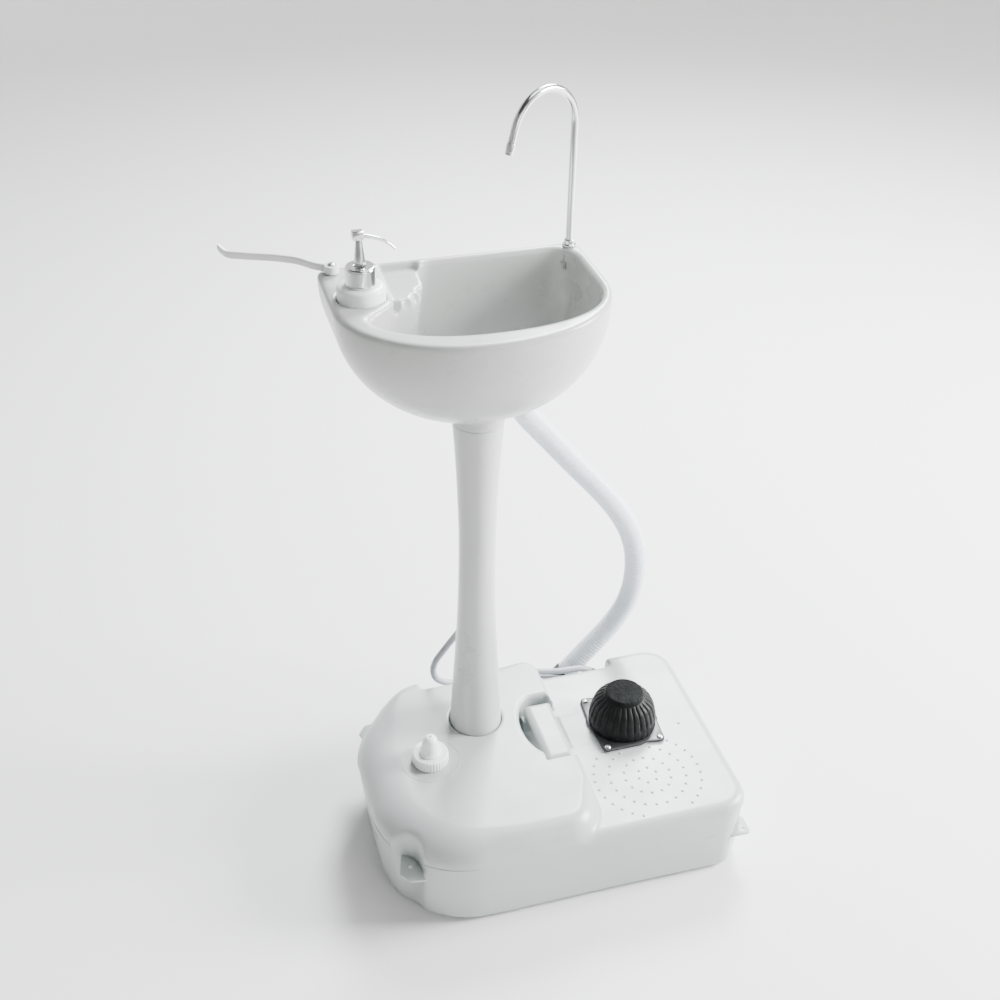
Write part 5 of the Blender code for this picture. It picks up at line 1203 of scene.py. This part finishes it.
put("pump_seal", ring_plate("pump_seal", flange_plan(0.0004), 0.0372, FZ, FZ + 0.0012, 0.0002), LINE, "root", ["pump_gasket"], 30)
put("pump_clamp_ring", ring_plate("pump_clamp_ring", flange_plan(), 0.0497, FZ + 0.0015, FZ + 0.0050, 0.0008), BLACK, "root",
    ["pump_flange"], 30)
for i, (sx, sy) in enumerate(SCREWS, 1):
    cross_screw("clamp_screw_%d" % i, (sx, sy, 0), 0.0043, FZ + 0.0053, FZ + 0.0077, STEEL, ["pump_screw_%d" % i], 0.0013, 0.1150)

DOME_Z0 = FZ + 0.0018
FLUTES = 28
outer = [(0.0250, 0.1822), (0.0292, 0.1795), (0.0365, 0.1737), (0.0412, 0.1690), (0.0450, 0.1610), (0.0474, 0.1520), (0.0488, 0.1430), (0.0491, 0.1340),
         (0.0490, DOME_Z0)]
dense = spline_through([(r, 0.0, z) for r, z in outer], 44)
prof = [(q.x, q.z) for q in dense] + [(0.0440, DOME_Z0), (0.0440, DOME_Z0 + 0.0030), (0.0452, 0.1430), (0.0432, 0.1530), (0.0392, 0.1625),
                                      (0.0340, 0.1680), (0.0240, 0.1745)]
top_ring = 44


def flute(a, r, z, i):
    if i >= top_ring:
        return r, z
    t = i / (top_ring - 1)
    amp = 0.0022 * min(1.0, max(0.0, (t - 0.05) / 0.10)) * (1 - 0.80 * step01(np.array(t), 0.62, 0.80))
    u = (a * FLUTES / (2 * math.pi)) % 1.0
    w = abs(u - 0.5) * 2          # 0 on a rib's middle, 1 in a groove
    shape = max(0.0, (w - 0.42) / 0.58) ** 1.4
    p = Vector((r * math.cos(a), r * math.sin(a), z))
    lump = 0.00035 * noise.noise(p * 160)
    dr = -float(amp) * shape + lump
    # the outward direction leans up on the shoulder
    tilt = 0.55 * (1 - t) if t < 0.5 else 0.0
    return r + dr * (1 - tilt), z + dr * tilt


def bellows_radius(a, r, z, i):
    return flute(a, r, z, i)


bm = lathe_bm(prof, FLUTES * 12, True, at=(PUMP_X, PUMP_Y, 0), radius=bellows_radius)
dome = put("pump_dome", from_bm("pump_dome", bm), RUBBER, None, ["pump_bellows"], 50)
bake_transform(dome)

pad_prof = [(0.0, 0.18760)]
for k in range(1, 22):
    r = 0.0258 * k / 21
    pad_prof.append((r, 0.18760 - 0.0012 * (r / 0.0258) ** 2))
pad_prof += [(0.0268, 0.1853), (0.0276, 0.1838), (0.0283, 0.1818), (0.0286, 0.1790), (0.0284, 0.1745), (0.0, 0.1745)]


def pad_shape(a, r, z, i):
    p = Vector((r * math.cos(a), r * math.sin(a), z))
    d = noise.voronoi(p * 330)[0][0] if i < 22 else 0.5
    lift = (0.0009 * (0.55 - d)) if i < 22 else 0.0
    u = (a * FLUTES / (2 * math.pi)) % 1.0
    w = abs(u - 0.5) * 2
    cutin = 0.0014 * max(0.0, (w - 0.42) / 0.58) ** 1.4 if 22 <= i <= 26 else 0.0
    return r - cutin, min(z + lift, 0.1878)


lathe("pump_tread_pad", pad_prof, PAD_RUBBER, "pump_pedal", ["pump_top_pad"], (PUMP_X, PUMP_Y, 0), 168, closed=False,
      r=0.0001, radius=pad_shape, angle=70)
VT = DOME_Z0 - 0.0010
vb = lathe_bm(fillet([(0.0, VT), (0.0364, VT), (0.0364, 0.1120), (0.0240, 0.1120), (0.0240, 0.0823), (0.0, 0.0823)], 0.0008, 3, False),
              64, False, at=(PUMP_X, PUMP_Y, 0))
put("pump_valve_block", holed(vb, [(PUMP_X - 0.013, PUMP_Y), (PUMP_X + 0.013, PUMP_Y)], 0.0042, 0.1080, 0.15), WHITE, "root",
    ["pump_valve_body"], 35)
for name, node_name, sx in (("inlet_flap", "pump_inlet_valve", -1), ("outlet_flap", "pump_outlet_valve", 1)):
    lathe(name, [(0.0, VT + 0.0018), (0.0040, VT + 0.0017), (0.0070, VT + 0.0010), (0.0070, VT + 0.0003), (0.0012, VT + 0.0003),
                 (0.0012, VT - 0.0060), (0.0, VT - 0.0064)], SEAL, "root", [node_name], (PUMP_X + sx * 0.0130, PUMP_Y, 0),
          36, closed=False, r=0.0003)
coil = [(PUMP_X + 0.0250 * math.cos(a), PUMP_Y + 0.0250 * math.sin(a), VT + 0.0019 + (0.1742 - VT - 0.0034) * i / 220)
        for i, a in enumerate(np.linspace(0, 2 * math.pi * 7, 221))]
pump_coil = put("pump_return_spring", from_bm("pump_return_spring", sweep(coil, [0.0013] * 221, 10)), STEEL, None, ["pump_spring"],
                60)
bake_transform(pump_coil)

# ------------------------------------------------------- inside of the tank
draw = hose_line([(-0.1120, 0.1326, LINE_Z), (-0.1120, 0.1280, LINE_Z), (-0.1120, 0.1150, 0.0940), (-0.1110, 0.0960, 0.0760),
                  (-0.1100, 0.0870, 0.0500), (-0.1100, 0.0860, 0.0320), (-0.1100, 0.0860, 0.0240)], 12)
dl = spline_through(draw, 60)
put("tank_draw_tube", from_bm("tank_draw_tube", sweep(dl, [0.0040] * 60, 20, 0.0026)), LINE, "root", ["draw_tube"], 60)
lathe("tank_draw_strainer", [(0.0, 0.0236), (0.0096, 0.0236), (0.0101, 0.0226)] +
      [q for k in range(4) for q in ((0.0104 + 0.0003 * k, 0.0210 - 0.0030 * k), (0.0098 + 0.0003 * k, 0.0202 - 0.0030 * k),
                                     (0.0098 + 0.0003 * k, 0.0192 - 0.0030 * k))] +
      [(0.0118, 0.0084), (0.0114, 0.0070), (0.0, 0.0070)], WHITE, "root", ["draw_strainer"], (-0.1100, 0.0860, 0), 48,
      closed=False, r=0.0003)

# ---------------------------------------------------------- floor and light
fm, nt, p = tree("studio_floor")
co = node(nt, "ShaderNodeTexCoord").outputs["Object"]
place = nt.nodes.new("ShaderNodeSeparateXYZ")
nt.links.new(co, place.inputs[0])
depth = nt.nodes.new("ShaderNodeMapRange")
depth.inputs["From Min"].default_value, depth.inputs["From Max"].default_value = -3.4, -1.3
along = nt.nodes.new("ShaderNodeMath")
along.operation = "ADD"
nt.links.new(place.outputs["X"], along.inputs[0])
nt.links.new(place.outputs["Y"], along.inputs[1])
nt.links.new(along.outputs[0], depth.inputs["Value"])
nt.links.new(blend_colour(nt, depth.outputs["Result"], (0.34, 0.34, 0.335), (0.88, 0.88, 0.875)), p.inputs["Base Color"])
p.inputs["Roughness"].default_value = 0.75
bm = bmesh.new()
rows = []
SWEEP = [(0.0, 1.6), (0.0, 3.9)] + [(1.4 - 1.4 * math.cos(t), 3.9 + 1.4 * math.sin(t)) for t in np.linspace(0.15, math.pi / 2, 10)] + [(6.0, 5.3)]
for z, r in SWEEP:
    rows.append([bm.verts.new((r * math.cos(2 * math.pi * i / 96), r * math.sin(2 * math.pi * i / 96), z - 0.0002)) for i in range(96)])
bm.faces.new(rows[0])
for a, b in zip(rows, rows[1:]):
    for i in range(96):
        bm.faces.new((a[i], b[i], b[(i + 1) % 96], a[(i + 1) % 96]))
fmesh = from_bm("studio_floor", bm)
fmesh.materials.append(fm)
fmesh.shade_smooth()
floor_obj = bpy.data.objects.new("studio_floor", fmesh)
COLL.objects.link(floor_obj)


def area(name, loc, target, size, power, colour=(1, 1, 1)):
    light = bpy.data.lights.new(name, "AREA")
    light.shape, light.size, light.size_y = "RECTANGLE", size[0], size[1]
    light.energy, light.color = power, colour
    obj = bpy.data.objects.new(name, light)
    COLL.objects.link(obj)
    obj.location = loc
    obj.rotation_euler = (Vector(target) - Vector(loc)).to_track_quat("-Z", "Y").to_euler()
    return obj


area("key_right", (3.0, -0.5, 1.7), (0, 0, 0.45), (1.3, 1.6), 455, (1.0, 1.0, 1.0))
area("window_back", (1.02, 1.75, 2.30), (0.09, -0.05, 0.12), (0.9, 1.1), 215, (0.96, 0.985, 1.0))
area("fill_front", (1.3, -3.4, 1.5), (0, 0, 0.4), (2.0, 1.5), 40, (1.0, 0.995, 0.985))
area("overhead", (0.9, 0.2, 3.4), (0.1, 0, 0), (1.8, 1.8), 50, (0.96, 0.985, 1.0))
world = bpy.data.worlds.new("studio")
SCENE.world = world
world.use_nodes = True
world.node_tree.nodes["Background"].inputs["Color"].default_value = (0.98, 0.96, 0.86, 1)
world.node_tree.nodes["Background"].inputs["Strength"].default_value = 0.10
